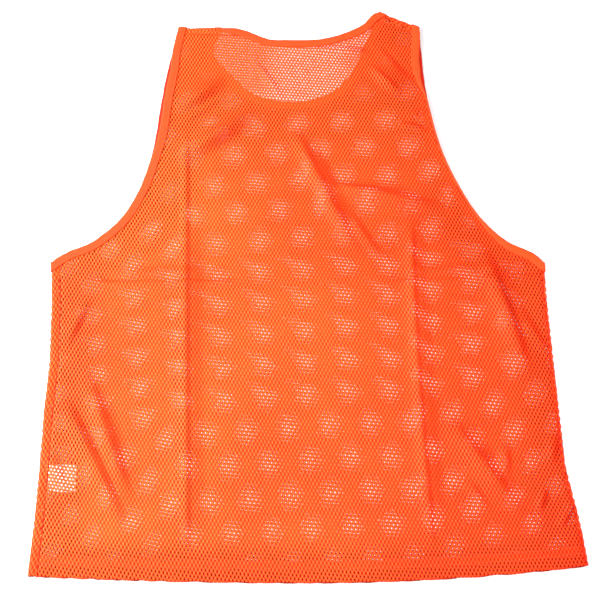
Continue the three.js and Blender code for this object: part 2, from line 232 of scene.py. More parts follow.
# %% Table of creases
CREASE_COLUMNS = ("x1", "up1", "x2", "up2", "bow", "rise", "half", "steep")
BROAD_CREASES = [
    (-147, 450, -132, 25, 0, 1.8, 24, 1.0),
    (121, 450, 135, 41, 0, 2.0, 20, 1.0),
    (-257, 353, -74, 353, 0, 2.0, 18, 1.0),
    (91, 353, 272, 362, 0, 2.0, 18, 1.0),
    (-19, 555, 60, 381, 0, 3.5, 22, 1.0),
    (15, 473, 166, 442, 0, 3.0, 20, 1.0),
    (-175, 507, -62, 579, 0, 4.0, 28, 1.0),
    (-171, 576, -100, 626, 0, 3.0, 22, 1.0),
    (77, 645, 128, 604, 0, 3.0, 20, 1.0),
    (203, 404, 254, 222, 0, 3.0, 28, 1.0),
    (-282, 209, -200, 52, 0, 2.5, 22, 1.0),
    (-259, 245, -195, 74, 0, 2.0, 22, 1.0),
    (149, 192, 236, 63, 0, 3.0, 24, 1.0),
]
FINE_CREASES = [
    (-132, 25, -151, 555, -1, 1.1, 9, 0.8),  # left storage crease
    (135, 30, 124, 430, -4, 1.4, 10, 0.6),  # right storage crease
    (-262, 352, -74, 354, 2, -1.8, 8, 0.8),  # cross crease, left
    (88, 352, 280, 362, 2, -1.8, 8, 0.8),  # cross crease, right
    (63, 378, -21, 560, -3, 1.8, 14, 0.75),  # long fold below the neck
    (92, 372, 49, 442, -3, 1.6, 12, 0.75),
    (170, 441, 12, 474, 3, 2.0, 13, 0.7),  # fold towards the right armhole
    (-60, 581, -178, 505, -5, 2.1, 17, 0.7),
    (-98, 628, -174, 574, -3, 1.8, 14, 0.7),
    (-96, 600, -170, 548, 2, 1.2, 10, 0.7),
    (124, 596, 76, 647, -3, 2.4, 13, 0.5),  # right strap
    (138, 611, 86, 672, -3, 1.4, 12, 0.7),
    (153, 547, 108, 556, 2, 1.8, 10, 0.6),
    (150, 580, 118, 566, 0, 1.2, 10, 0.6),
    (254, 222, 203, 404, 2, 3.2, 18, 0.6),  # deepest, under the arm
    (279, 250, 246, 318, 0, 1.4, 12, 0.6),
    (-200, 50, -284, 212, 4, 2.4, 16, 0.7),  # lower left corner
    (-194, 72, -261, 247, 3, 2.0, 16, 0.7),
    (-283, 262, -254, 332, 0, 2.2, 14, 0.6),
    (-292, 150, -268, 86, 0, 1.2, 11, 0.7),
    (237, 61, 148, 194, 4, 1.8, 16, 0.6),  # lower right corner
    (220, 110, 221, 159, 0, 1.8, 12, 0.6),
    (268, 121, 278, 171, 0, 2.2, 13, 0.6),
    (250, 66, 265, 103, 0, 3.0, 9, 0.6),
    (272, 45, 293, 81, 0, 3.0, 9, 0.6),
    (202, 68, 170, 120, 0, 1.5, 12, 0.6),
    (-30, 584, -74, 654, 4, 1.1, 9, 0.7),  # behind the neck
    (84, 660, -4, 664, 2, 2.6, 8, 0.6),
    (60, 676, 10, 674, 2, 1.0, 7, 0.6),
]
CREASES = np.array(BROAD_CREASES + FINE_CREASES, float)
print(len(CREASES), "creases, each with", ", ".join(CREASE_COLUMNS))


# %% Height of the cloth
def crease_rise(x, up):
    """Sum over the creases of rise * (1 + cos(pi * off / half)) / 2, sunk to 0 at the ends.

    Off is the distance from the crease's line, which bows by bow * 4 s (1 - s)."""
    total = np.zeros(np.shape(x))
    for x1, up1, x2, up2, bow, rise, half, steep in CREASES:
        length = np.hypot(x2 - x1, up2 - up1)
        along_x, along_up = (x2 - x1) / length, (up2 - up1) / length
        run = (x - x1) * along_x + (up - up1) * along_up
        share = np.clip(run / length, 0, 1)
        off = (x - x1) * along_up - (up - up1) * along_x - 4 * bow * share * (1 - share)
        width = np.where(off > 0, half * steep, half)
        across = 0.5 + 0.5 * np.cos(np.pi * np.clip(off / width, -1, 1))
        fade = min(length / 2, 4 * half)
        total += rise * across * ease(np.minimum(run, length - run), 0, fade)
    return total


def top_of(x, up, stack):
    """Height of the upper skin: the stack, 1.8 mm more over the hem, and the creases."""
    hem = 1 - ease(up, HEM_DEPTH + 2, HEM_DEPTH + HEM_EASE)
    return stack + (HEM_STACK - STACK) * hem + crease_rise(x, up)


def in_frame(x, up, z):
    """Metres in the frame, with the hem's corners lifted by a parabola across the width."""
    lift = np.where(x < 0, HEM_LIFT["left"], HEM_LIFT["right"])
    rise = lift * (x / HEM_HALF) ** 2 * (1 - ease(up, 0, HEM_LIFT_FADE))
    return (np.stack([x, up + rise, z], axis=-1) + SHIFT) / 1000


print("highest crease over the flat cloth: %.1f mm" % crease_rise(
    *np.meshgrid(np.linspace(-300, 300, 121), np.linspace(0, 700, 141))).max())

# %% [markdown]
# ## From arrays to a mesh
#
# Every piece below is worked out as whole arrays. This helper hands them to Blender in one
# go with foreach_set, which is hundreds of times faster than adding faces one by one.

# %% Mesh from arrays
def cloth_mesh(name, points, faces, uv=None, shades=None):
    """Mesh object from points in metres, and arrays of 3- or 4-cornered faces.

    Shades are named numbers, one for each point, that the material may read."""
    corners = np.concatenate([face.ravel() for face in faces])
    counts = np.concatenate([np.full(len(face), face.shape[1]) for face in faces])
    used, corners = np.unique(corners, return_inverse=True)
    points = points.reshape(-1, 3)[used]
    mesh = bpy.data.meshes.new(name)
    mesh.vertices.add(len(points))
    mesh.vertices.foreach_set("co", points.ravel())
    mesh.loops.add(len(corners))
    mesh.loops.foreach_set("vertex_index", corners.ravel())
    mesh.polygons.add(len(counts))
    mesh.polygons.foreach_set("loop_start", np.cumsum(counts) - counts)
    mesh.update(calc_edges=True)
    if uv is not None:
        layer = mesh.uv_layers.new(name="weave")
        layer.data.foreach_set("uv", uv.reshape(-1, 2)[used][corners.ravel()].ravel())
    for shade, values in (shades or {}).items():
        layer = mesh.attributes.new(shade, "FLOAT", "POINT")
        layer.data.foreach_set("value", values.ravel()[used].astype(np.float32))
    mesh.polygons.foreach_set("use_smooth", np.ones(len(counts), bool))
    piece = bpy.data.objects.new(name, mesh)
    bpy.context.scene.collection.objects.link(piece)
    print("%s: %d points, %d triangles" % (name, len(points), (counts - 2).sum()))
    return piece


def thicken(piece, millimetres):
    """Solidify, half of the thickness to each side of the surface."""
    cloth = piece.modifiers.new("cloth", "SOLIDIFY")
    cloth.thickness = millimetres / 1000
    cloth.offset = 0


def grid_faces(rows, columns, close_rows=False, close_columns=False):
    """Quads of a grid of points, row by row. A closed side joins its last line to its first."""
    row = np.arange(rows if close_rows else rows - 1)[:, None]
    column = np.arange(columns if close_columns else columns - 1)[None, :]
    next_row, next_column = (row + 1) % rows, (column + 1) % columns
    corners = [
        row * columns + column,
        row * columns + next_column,
        next_row * columns + next_column,
        next_row * columns + column,
    ]
    shape = (len(row), column.size)
    return np.stack([np.broadcast_to(c, shape) for c in corners], axis=-1).reshape(-1, 4)


# %% [markdown]
# ## The net
#
# Warp-knitted net has staggered rows of small tall holes. An image or an alpha pattern
# would be cheaper, but the light spots come from real depth: one net seen through another,
# two millimetres below. So the holes are modelled. A hole is a hexagon, and its six corners
# are joined to the neighbours' corners: three strands of four corners and two three-cornered
# knots for each hole, which is only eight triangles.
#
# A net is described by its phase: u counts holes across and v counts rows. The phase is a
# function of the place on the cloth, and each hole is found by solving it for whole numbers.
# Both layers are cut from one net. The lower one lies a little looser and slightly askew, so
# the two phases drift apart, and the drift makes one light spot every 46 mm or so. The
# drift's values come from a fit to the photo's rows of spots, made outside this script
# and rounded. Its climb and its sag differ from the fit.

# %% Phase of the two nets
HOLE_PITCH = 4.15  # from hole to hole along a row
ROW_PITCH = 3.88  # from row to row
HOLE_HALF = {"width": 0.95, "height": 1.42}
UNEVEN = {"size": 0.05, "place": 0.022}  # spread of the holes' size, and of a corner's phase
ROW_SLOPE = 0.085  # rows run down to the right
CORNER_SLOPE = 0.07  # more so left of the storage crease
COLUMN_LEAN = 0.044
SPOT = {
    "pitch": 46.1,  # from one light spot to the next, across
    "pitch_growth": 0.021,  # for each mm further up than the height that follows
    "pitch_up": 200,
    "lean": 0.031,
    "row": 38.0,  # from one row of spots to the next
    "start_across": 1.02,
    "start_row": 0.57,
    "first_straight": 6,  # from this row of spots, five more stand straight above it
    "straight_rows": 5,
    "straighten": (0.15, 0.85),  # part of the way between two rows where the shift is made
    "sag": 0.002,  # rows of spots sag to the left in this stretch
    "sag_between": (-130, 60),
    "climb_left": 0.0125,  # and climb outside the storage creases
    "climb_right": 0.0065,
}
CREASE_X = {"left": -150, "right": 125}


def back_phase(x, up):
    """Straight rows that slope, and columns that lean: linear in x and up."""
    left = np.minimum(x - CREASE_X["left"], 0)
    across = (x + COLUMN_LEAN * up) / HOLE_PITCH
    rows = (up + ROW_SLOPE * x + CORNER_SLOPE * left) / ROW_PITCH
    return across, rows


def spot_phase(x, up):
    """Drift between the nets: one spot where both values are whole, staggered by rows.

    Half a spot's shift is eased in between rows where the spots stand straight."""
    left = np.minimum(x - CREASE_X["left"], 0)
    right = np.maximum(x - CREASE_X["right"], 0)
    sag = SPOT["sag"] * np.clip(x, *SPOT["sag_between"])
    rows = up / SPOT["row"] + SPOT["start_row"] - sag
    rows = rows - SPOT["climb_left"] * left - SPOT["climb_right"] * right
    step = np.clip(rows - SPOT["first_straight"], 0, SPOT["straight_rows"])
    stair = np.floor(step) + ease(step - np.floor(step), *SPOT["straighten"])
    above = up - SPOT["pitch_up"]
    pitch = SPOT["pitch"] + SPOT["pitch_growth"] * above
    across = (x + SPOT["lean"] * above) / pitch + 0.5 * stair + SPOT["start_across"]
    return across, rows


def front_phase(x, up):
    """The back's phase less the drift, so both agree wherever the drift is whole."""
    back, spot = back_phase(x, up), spot_phase(x, up)
    return back[0] - spot[0], back[1] - spot[1]


def solve_phase(phase, across, rows, steps=14):
    """Place on the cloth with that phase, by steps of (wanted - found) * pitch."""
    x, up = across * HOLE_PITCH, rows * ROW_PITCH
    for _ in range(steps):
        found = phase(x, up)
        x = x + (across - found[0]) * HOLE_PITCH
        up = up + (rows - found[1]) * ROW_PITCH
    return x, up


two_rows = spot_phase(np.zeros(2), np.array([0.0, 400.0]))[1]
print("rows of light spots in 400 mm: %.1f" % (two_rows[1] - two_rows[0]))


# %% Inside a cut
def inside(polygon, x, up):
    """Even-odd rule: a point is inside if a ray to its left crosses the outline oddly."""
    x1, up1 = polygon[:, 0], polygon[:, 1]
    x2, up2 = np.roll(x1, -1), np.roll(up1, -1)
    odd = np.zeros(np.shape(x), bool)
    for k in range(len(polygon)):
        spans = (up1[k] > up) != (up2[k] > up)
        rise = up2[k] - up1[k] if up2[k] != up1[k] else 1.0
        odd ^= spans & (x < x1[k] + (x2[k] - x1[k]) * (up - up1[k]) / rise)
    return odd


def polygon_area(polygon):
    """Shoelace formula, in square metres."""
    x, up = polygon[:, 0], polygon[:, 1]
    return abs((x * np.roll(up, -1) - up * np.roll(x, -1)).sum()) / 2e6


# %% Strands and knots between the holes
CORNER_ANGLES = [90, 30, -30, -90, -150, 150]
WAYS = {"here": (0, 0), "right": (0, 1), "up_right": (1, 0), "up_left": (1, -1)}
PARTS = [
    [("here", 2), ("right", 4), ("right", 5), ("here", 1)],  # strand beside the hole
    [("here", 1), ("up_right", 3), ("up_right", 4), ("here", 0)],  # strand up right
    [("here", 0), ("up_left", 2), ("up_left", 3), ("here", 5)],  # strand up left
    [("here", 0), ("up_right", 4), ("up_left", 2)],  # knot over the hole
    [("here", 1), ("right", 5), ("up_right", 3)],  # knot between two holes
]


def net_faces(kept, odd, face_up):
    """Each part that joins kept holes only, as numbers of corners: six times the hole's, plus k.

    Every other row lies half a hole to the right, so its upper neighbours are one further."""
    row, column = np.indices(kept.shape)
    parity = np.broadcast_to(odd, kept.shape)
    number, there = {}, {}
    for way, (rows_on, columns_on) in WAYS.items():
        r = np.clip(row + rows_on, 0, kept.shape[0] - 1)
        shift = columns_on + parity if rows_on else columns_on
        c = np.clip(column + shift, 0, kept.shape[1] - 1)
        number[way] = (r * kept.shape[1] + c) * len(CORNER_ANGLES)
        there[way] = kept[r, c]
    faces = []
    for part in PARTS:
        complete = np.logical_and.reduce([there[way] for way, _ in part])
        face = np.stack([(number[way] + k)[complete] for way, k in part], axis=1)
        faces.append(face if face_up else face[:, ::-1])
    return faces


print("triangles for each hole:", sum(len(part) - 2 for part in PARTS))


# %% One net
def net_piece(name, phase, polygon, to_space, face_up, openness, seed):
    """Net over the inside of a polygon: hexagons at phase (i + half the row's parity, j)."""
    edge_u, edge_v = phase(polygon[:, 0], polygon[:, 1])
    low_u, high_u = int(edge_u.min()) - 2, int(edge_u.max()) + 3
    low_v, high_v = int(edge_v.min()) - 2, int(edge_v.max()) + 3
    low_v -= low_v % 2
    v = np.arange(low_v, high_v)[:, None]
    u = np.arange(low_u, high_u)[None, :]
    odd = (v % 2).astype(int)
    centre_u, centre_v = np.broadcast_arrays(u + 0.5 * odd, v * 1.0)
    centre_x, centre_up = solve_phase(phase, centre_u, centre_v)
    kept = inside(polygon, centre_x, centre_up)

    angle = np.radians(CORNER_ANGLES)
    corner_u = HOLE_HALF["width"] / np.cos(np.radians(30)) * np.cos(angle) / HOLE_PITCH
    corner_v = HOLE_HALF["height"] * np.sin(angle) / ROW_PITCH
    uneven = np.random.default_rng(seed).normal(size=(3,) + centre_u.shape + (1,))
    wide, tall = openness(centre_x, centre_up)
    size = 1 + UNEVEN["size"] * uneven[0]
    place_u, place_v = UNEVEN["place"] * uneven[1], UNEVEN["place"] * uneven[2]
    hole_u = centre_u[..., None] + corner_u * wide[..., None] * size + place_u
    hole_v = centre_v[..., None] + corner_v * tall[..., None] * size + place_v
    x, up = solve_phase(phase, hole_u, hole_v)
    points, shades = to_space(x, up)
    print(name, "has", int(kept.sum()), "holes")
    faces = net_faces(kept, odd, face_up)
    return cloth_mesh(name, points, faces, np.stack([hole_u, hole_v], axis=-1), shades)


# %% [markdown]
# ## Turning the cloth over at its folds
#
# The hem is turned up inside, the front net runs round both sides to seams that lie on top,
# and over both shoulders. A fold is a half circle of a radius set by the layers inside it.
# So a place is first counted along the flat cut, past the fold, and then bent over. The net
# needs no join, and its rows run on round the edge as they do on the real bib.

# %% Fold of the hem
MID = NET / 2  # depth of the modelled skin within the cloth


def hem_turn(cut_up):
    """Distance up and depth of a place on the cut: a half circle at the hem, then inside."""
    radius = FOLD_RADIUS - MID
    bent = np.clip((FOLD_RADIUS - cut_up) / radius, 0, np.pi)
    past = np.maximum(FOLD_RADIUS - np.pi * radius - cut_up, 0)
    up = np.maximum(cut_up, FOLD_RADIUS) - radius * np.sin(bent) + past
    depth = FOLD_RADIUS - radius * np.cos(bent)
    return up, depth


HEM_CUT = FOLD_RADIUS - np.pi * (FOLD_RADIUS - MID) - (HEM_DEPTH - FOLD_RADIUS)


def half_turn(past, hinge, depth):
    """Travel and height of a place that lies past a fold's hinge line.

    Round the fold by a half circle of radius hinge - depth, then straight back on top."""
    radius = hinge - depth
    angle = np.clip(past / radius, 0, np.pi)
    back = np.maximum(past - np.pi * radius, 0)
    return radius * np.sin(angle) - back, hinge - radius * np.cos(angle)


print("the cut goes on %.1f mm below the hem's edge" % -HEM_CUT)

# %% Folds and seams over the shoulders
SHOULDER_FOLD = {
    "left": np.array([ARM["left"][-1], NECK["back"][0]]),
    "right": np.array([NECK["back"][-1], ARM["right"][-1]]),
}


def over_shoulders(x, lines):
    """How far up the shoulders' two lines lie over x, each carried on level past its ends."""
    return np.where(x < 0, np.interp(x, *lines["left"].T), np.interp(x, *lines["right"].T))


def fold_up(x):
    """Height of the shoulder folds over x."""
    return over_shoulders(x, SHOULDER_FOLD)


def shoulder_seam(side, inset=BINDING_WIDTH):
    """Both ends of a shoulder seam, from the armhole binding to the neck binding."""
    row = SHOULDER_SEAM_ROW["neck_" + side]
    arm = edge_stations(ARM[side], [SHOULDER_SEAM_ROW["arm"]], HANDS[side], inset)[1][0]
    neck = edge_stations(NECK["back"], [row], 1, inset)[1][0]
    return np.array([arm, neck] if side == "left" else [neck, arm])


SEAM_LINE = {side: shoulder_seam(side) for side in HANDS}
for side, (start, end) in SEAM_LINE.items():
    print("%s shoulder seam: %.0f mm long" % (side, np.linalg.norm(end - start)))

# %% Groove of the seams
SEAM_DIP = {"depth": 0.9, "half": 2.4}
FAR = 99  # mm, past any groove
SHOULDERS_UP = UNDERARM + 200  # all above it belongs to the shoulders


def seam_dip(x, up):
    """Groove along the side and shoulder seams: a bell curve of the distance to them."""
    left = x - side_x("left", up) - SEAM_IN["left"]
    right = side_x("right", up) - SEAM_IN["right"] - x
    side = np.where(up < UNDERARM, np.minimum(np.abs(left), np.abs(right)), FAR)
    top = np.where(up > SHOULDERS_UP, np.abs(up - over_shoulders(x, SEAM_LINE)), FAR)
    return SEAM_DIP["depth"] * np.exp(-(np.minimum(side, top) / SEAM_DIP["half"]) ** 2)


# %% [markdown]
# ## Where the cloth lies loose, and where shade is painted
#
# In the middle of the bib both nets lie loose and open, and the table's light comes up
# through them; there a painted glow takes away part of the painted shade on the lower net.
# At the sides, the hem and the straps the cloth is drawn together, and the lower net keeps
# its painted shade. A crease's far flank and the double hem are painted a redder shade,
# which stands in for light that has gone through orange cloth twice and lost more of its
# yellow. Each of these is a smooth number for every place on the cloth; the painted shades
# are kept as attributes that the finish reads later.

# %% Loose middle, painted glow and painted red flanks
LOOSE = {
    "left": -245, "left_in": 110, "left_rise": (380, 460),
    "right": 250, "right_in": 75, "right_rise": (240, 420),
    "edge": 15, "hem": (34, 60), "top": (560, 590),
}
GLOW = {
    "left": -245, "left_in": 112, "left_rise": (340, 420),
    "right": 245, "right_in": 100, "right_rise": (300, 430),
    "edge": 18, "hem": (25, 50), "top": (470, 550),
}
GLOW_SHARE = 0.66  # how much of the shade between the nets the table's light takes away
GLOW_RIGHT = {"less": 0.4, "from": (95, 170)}
SHADED_CREASE = {"x": -133, "lean": 0.036, "half": 13, "share": 0.8}
# Painted red shade: crease flanks that face away from the lights, and the double hem.
FLANK_SLOPE = {"right": 0.30, "far": 0.45}  # slope at which a flank is fully red
HEM_RED_SHADE = {"share": 0.4, "up": (22, 40)}


def middle_of(field, x, up):
    """1 inside a field whose sides step inwards further up, eased to 0 at its edges."""
    left_edge = field["left"] + field["left_in"] * ease(up, *field["left_rise"])
    right_edge = field["right"] - field["right_in"] * ease(up, *field["right_rise"])
    edge = field["edge"]
    across = ease(x - left_edge, -edge, edge) * ease(right_edge - x, -edge, edge)
    return across * ease(up, *field["hem"]) * (1 - ease(up, *field["top"]))


def glow_below(x, up):
    """Share of the table's light on the lower net: less to the right, least under a crease."""
    less = GLOW_RIGHT["less"] * ease(x, *GLOW_RIGHT["from"])
    off = x - SHADED_CREASE["x"] + SHADED_CREASE["lean"] * up
    crease = SHADED_CREASE["share"] * np.exp(-(off / SHADED_CREASE["half"]) ** 2)
    return GLOW_SHARE * middle_of(GLOW, x, up) * (1 - less) * (1 - crease)


def blush(x, up):
    """Painted red shade: a crease's flank that falls to the right and away, and the double hem."""
    right = (crease_rise(x - 1, up) - crease_rise(x + 1, up)) / 2
    far = (crease_rise(x, up - 1) - crease_rise(x, up + 1)) / 2
    flank = (np.maximum(right, 0) / FLANK_SLOPE["right"]
             + np.maximum(far, 0) / FLANK_SLOPE["far"])
    return np.clip(flank + HEM_RED_SHADE["share"] * (1 - ease(up, *HEM_RED_SHADE["up"])), 0, 1)


print("glow in the middle %.2f, by the left side %.2f" % tuple(
    glow_below(np.array([0.0, -280.0]), np.array([250.0, 250.0]))))


# %% Each panel bent into place
TURNED_UP = (1.0, 1.5)  # depths between which the turned-up hem is out of the light
IN_THE_OPEN = {"above_skin": (0.1, 0.9), "depth": 1.2}


def back_space(x, cut_up):
    """The upper skin, less its depth; what is turned up inside the hem takes painted shade."""
    up, depth = hem_turn(cut_up)
    # Painted shade: the hem's turned-up inner layer is darkened in colour.
    shades = {"covered": ease(depth, *TURNED_UP), "blush": blush(x, up)}
    return in_frame(x, up, top_of(x, up, STACK) - depth - seam_dip(x, up)), shades


def front_space(x, cut_up):
    """Flat on the table; past a side or shoulder fold, round it and on to the upper side.

    What lies below the back takes painted shade, less the painted glow of the table's light, and a
    fold or what is past it doesn't."""
    up, depth = hem_turn(cut_up)
    z = depth
    new_x, new_up = x, up
    for side, inward in HANDS.items():
        edge = side_x(side, up)
        hinge = top_of(edge, up, STACK) / 2
        past = (edge + inward * hinge - x) * inward
        out, height = half_turn(past, hinge, depth)
        turned = (past > 0) & (cut_up < UNDERARM)
        new_x = np.where(turned, edge + inward * (hinge - out), new_x)
        on_top = turned & (past > np.pi * (hinge - depth))
        over = top_of(new_x, up, STACK) - depth - seam_dip(new_x, up)
        z = np.where(turned, np.where(on_top, over, height), z)
    fold = fold_up(x)
    hinge = top_of(x, fold, STACK) / 2
    past = cut_up - (fold - hinge)
    out, height = half_turn(past, hinge, depth)
    turned = (past > 0) & (cut_up > SHOULDERS_UP)
    new_up = np.where(turned, fold - hinge + out, new_up)
    on_top = turned & (past > np.pi * (hinge - depth))
    over = top_of(x, new_up, STACK) - depth - seam_dip(x, new_up)
    z = np.where(turned, np.where(on_top, over, height), z)
    low, high = (MID + rise for rise in IN_THE_OPEN["above_skin"])
    # Painted shade: the lower net is darkened where the back lies over it, less the painted glow of
    # the table's light; the painted red shade goes only where the net lies open.
    covered = 1 - ease(z, low, high) * (depth < IN_THE_OPEN["depth"])
    shades = {
        "covered": covered * (1 - glow_below(x, cut_up)),
        "blush": blush(new_x, new_up) * (1 - covered),
    }
    return in_frame(new_x, new_up, z), shades


# %% [markdown]
# ## How open the holes are
#
# Net gives: where it is pulled or bunched its holes shrink. So every hole has a share of
# its full width and height, worked out from its place. A hem stitched through two layers,
# a sharp fold and the straps are tight, and the loose middle is open.

# %% Share of a hole that is open
HEM_FOLD = {"at": -0.2, "half": 2.4}
SIDE_FOLD = {"at": -0.5, "half": 2.6}
FOLD_SHUT = 0.8
STITCHED = {"at": 19, "half": 5.5, "less": 0.4}  # between the two rows of the hem
NECK_OPENING = {"up": (585, 605), "middle": -10, "half": (95, 125), "less": 0.1}
BUNCHED = 0.3  # beside the neck opening, most on the left
BUNCHED_LEFT = {"out": (38, 62), "up": (592, 612)}
BUNCHED_RIGHT = {"out": (38, 66), "up": (610, 640), "top": 676, "fade": 12, "share": 0.8}
LOOSE_BACK = 0.09
FRONT_OPEN = {"drawn": 0.45, "loose": 0.32, "top": 0.17, "top_up": (585, 640), "wide": 0.88}
PAST_SHOULDER = {"less": 0.7, "ease": 4}


def bell(value, at, half, power=2):
    """Bell curve: 1 at one value, e^-1 at half from it, flatter topped for a higher power."""
    return np.exp(-((value - at) / half) ** power)


def back_openness(x, cut_up):
    """Share of the upper net's holes: full, less each stretch that is bunched or stitched."""
    left, right = BUNCHED_LEFT, BUNCHED_RIGHT
    bunched = ease(-x, *left["out"]) * ease(cut_up, *left["up"])
    bunched = bunched + (right["share"] * ease(x, *right["out"]) * ease(cut_up, *right["up"])
                         * ease(right["top"] - cut_up, 0, right["fade"]))
    off = np.abs(x - NECK_OPENING["middle"])
    behind = ease(cut_up, *NECK_OPENING["up"]) * (1 - ease(off, *NECK_OPENING["half"]))
    hem = bell(cut_up, HEM_FOLD["at"], HEM_FOLD["half"])
    stitched = bell(cut_up, STITCHED["at"], STITCHED["half"], 4)
    size = (1 - NECK_OPENING["less"] * behind) * (1 - BUNCHED * bunched)
    size = size * (1 - FOLD_SHUT * hem) * (1 - STITCHED["less"] * stitched)
    size = size * (1 - LOOSE_BACK * middle_of(LOOSE, x, cut_up))
    return size, size


def front_openness(x, cut_up):
    """Share of the lower net's holes: drawn together, more open in the loose middle."""
    size = FRONT_OPEN["drawn"] + FRONT_OPEN["loose"] * middle_of(LOOSE, x, cut_up)
    size = size - FRONT_OPEN["top"] * ease(cut_up, *FRONT_OPEN["top_up"])
    past = np.minimum(x - side_x("left", cut_up), side_x("right", cut_up) - x)
    fold = np.where(cut_up < UNDERARM, bell(past, SIDE_FOLD["at"], SIDE_FOLD["half"]), 0)
    hem = bell(cut_up, HEM_FOLD["at"], HEM_FOLD["half"])
    over = PAST_SHOULDER["less"] * ease(cut_up - fold_up(x), -PAST_SHOULDER["ease"], 0)
    size = size * (1 - FOLD_SHUT * np.maximum(fold, hem)) * (1 - over)
    return FRONT_OPEN["wide"] * size, size


for name, openness in (("back", back_openness), ("front", front_openness)):
    middle = openness(np.array([0.0]), np.array([250.0]))
    print("%s net, middle: holes %.2f wide, %.2f tall" % (name, middle[0][0], middle[1][0]))


# %% [markdown]
# ## The two panels
#
# Each panel's cut is a polygon: it ends inside the folded binding, 3.5 mm from the
# binding's edge, and just past each seam. The back panel ends at the side seams, which lie
# on top. The front panel's cut goes on round the side folds, and over the shoulders, to
# meet it. Every hole whose centre lies inside the polygon is then cut.

# %% Edges of a cut
UNDER_TAPE = 3.5  # how far inside the binding's outer edge the net ends
UNDER_NARROW_TAPE = 0.35  # the same as a share of the back binding, which may be rolled
PAST_SEAM = 3.0
CORNER_UP = UNDERARM - 6


def cut_edge(points, rows, hand, back_side=None):
    """Edge of a cut, inside the folded tape; the back's follows its own binding."""
    outer, inner = edge_stations(points, rows, hand, UNDER_TAPE)
    if back_side is None:
        return inner
    inset = back_shift(back_side, rows) + roll_width(back_side, rows) * UNDER_NARROW_TAPE
    return outer + (inner - outer) * (inset / UNDER_TAPE)[:, None]


def side_cut(side, past_fold, ups):
    """Points of a cut's side edge: the side fold, moved by a distance inwards."""
    return np.stack([side_x(side, np.abs(ups)) + HANDS[side] * past_fold, ups], axis=1)


# %% Cut of the back
skirt_ups = np.concatenate([[HEM_CUT], np.linspace(0, CORNER_UP, 40)])
arm_rows = np.linspace(0.5, SHOULDER_SEAM_ROW["arm"] + 0.05, 60)
neck_rows = np.linspace(
    SHOULDER_SEAM_ROW["neck_left"] - 0.4, SHOULDER_SEAM_ROW["neck_right"] + 0.5, 50)
back_cut = np.concatenate([
    side_cut("left", SEAM_IN["left"] - PAST_SEAM, skirt_ups),
    cut_edge(ARM["left"], arm_rows, 1, "left"),
    cut_edge(NECK["back"], neck_rows, 1),
    cut_edge(ARM["right"], arm_rows, -1, "right")[::-1],
    side_cut("right", SEAM_IN["right"] - PAST_SEAM, skirt_ups)[::-1],
])

# %% Cut of the front
side_turn = np.pi * (STACK / 2 - MID) - STACK  # a fold's arc, less what the hinge takes
NEAR_NECK_EDGE = 0.5  # past the shoulder fold the net reaches nearly to the tape's edge
PAST_SHOULDER_SEAM = PAST_SEAM + 2


def shoulder_cut(side):
    """The front's cut past the shoulder fold, up to the seam: the back's edges unfolded.

    A place that lies d below the fold on the back is d past the fold on the cut."""
    seam = SHOULDER_SEAM_ROW
    end_row = 0 if side == "left" else len(NECK["back"]) - 1
    arm_part = np.linspace(len(ARM[side]) - 1, seam["arm"], 4)
    neck_part = np.linspace(seam["neck_" + side], end_row, 8)
    arm = cut_edge(ARM[side], arm_part, HANDS[side])
    neck = edge_stations(NECK["back"], neck_part, 1, NEAR_NECK_EDGE)[1]
    runs = [arm, neck] if side == "left" else [neck[::-1], arm[::-1]]
    points = np.concatenate(runs)
    past = 2 * fold_up(points[:, 0]) - points[:, 1] + side_turn
    at_seam = np.isin(np.arange(len(points)), [len(runs[0]) - 1, len(runs[0])])
    return np.stack([points[:, 0], past + PAST_SHOULDER_SEAM * at_seam], axis=1)


front_arm_rows = np.linspace(0, len(ARM["left"]) - 1.15, 60)
front_neck_rows = np.linspace(0.2, len(NECK["front"]) - 1.2, 60)
front_cut = np.concatenate([
    side_cut("left", -side_turn - SEAM_IN["left"] - PAST_SEAM, skirt_ups),
    cut_edge(ARM["left"], front_arm_rows, 1),
    shoulder_cut("left"),
    cut_edge(NECK["front"], front_neck_rows, 1),
    shoulder_cut("right"),
    cut_edge(ARM["right"], front_arm_rows, -1)[::-1],
    side_cut("right", -side_turn - SEAM_IN["right"] - PAST_SEAM, skirt_ups)[::-1],
])
print("cut of the back %.3f m2, of the front %.3f m2" % (
    polygon_area(back_cut), polygon_area(front_cut)))

# %% Both nets
back_net = net_piece(
    "back_net", back_phase, back_cut, back_space, True, back_openness, 11)
front_net = net_piece(
    "front_net", front_phase, front_cut, front_space, False, front_openness, 12)

# %% [markdown]
# ## Bindings
#
# Each armhole, and the neck, is bound with one closed ring of smooth tape. The tape is
# folded round the raw edge of the net, its own raw edges are turned in, and a row of
# stitches holds it. A curve with a bevel would give a cord. Here the tape's folded section
# is a short profile, carried along the edge: down the front, round the side fold, up the
# back and over the shoulder. Solidify then gives the tape its thickness.

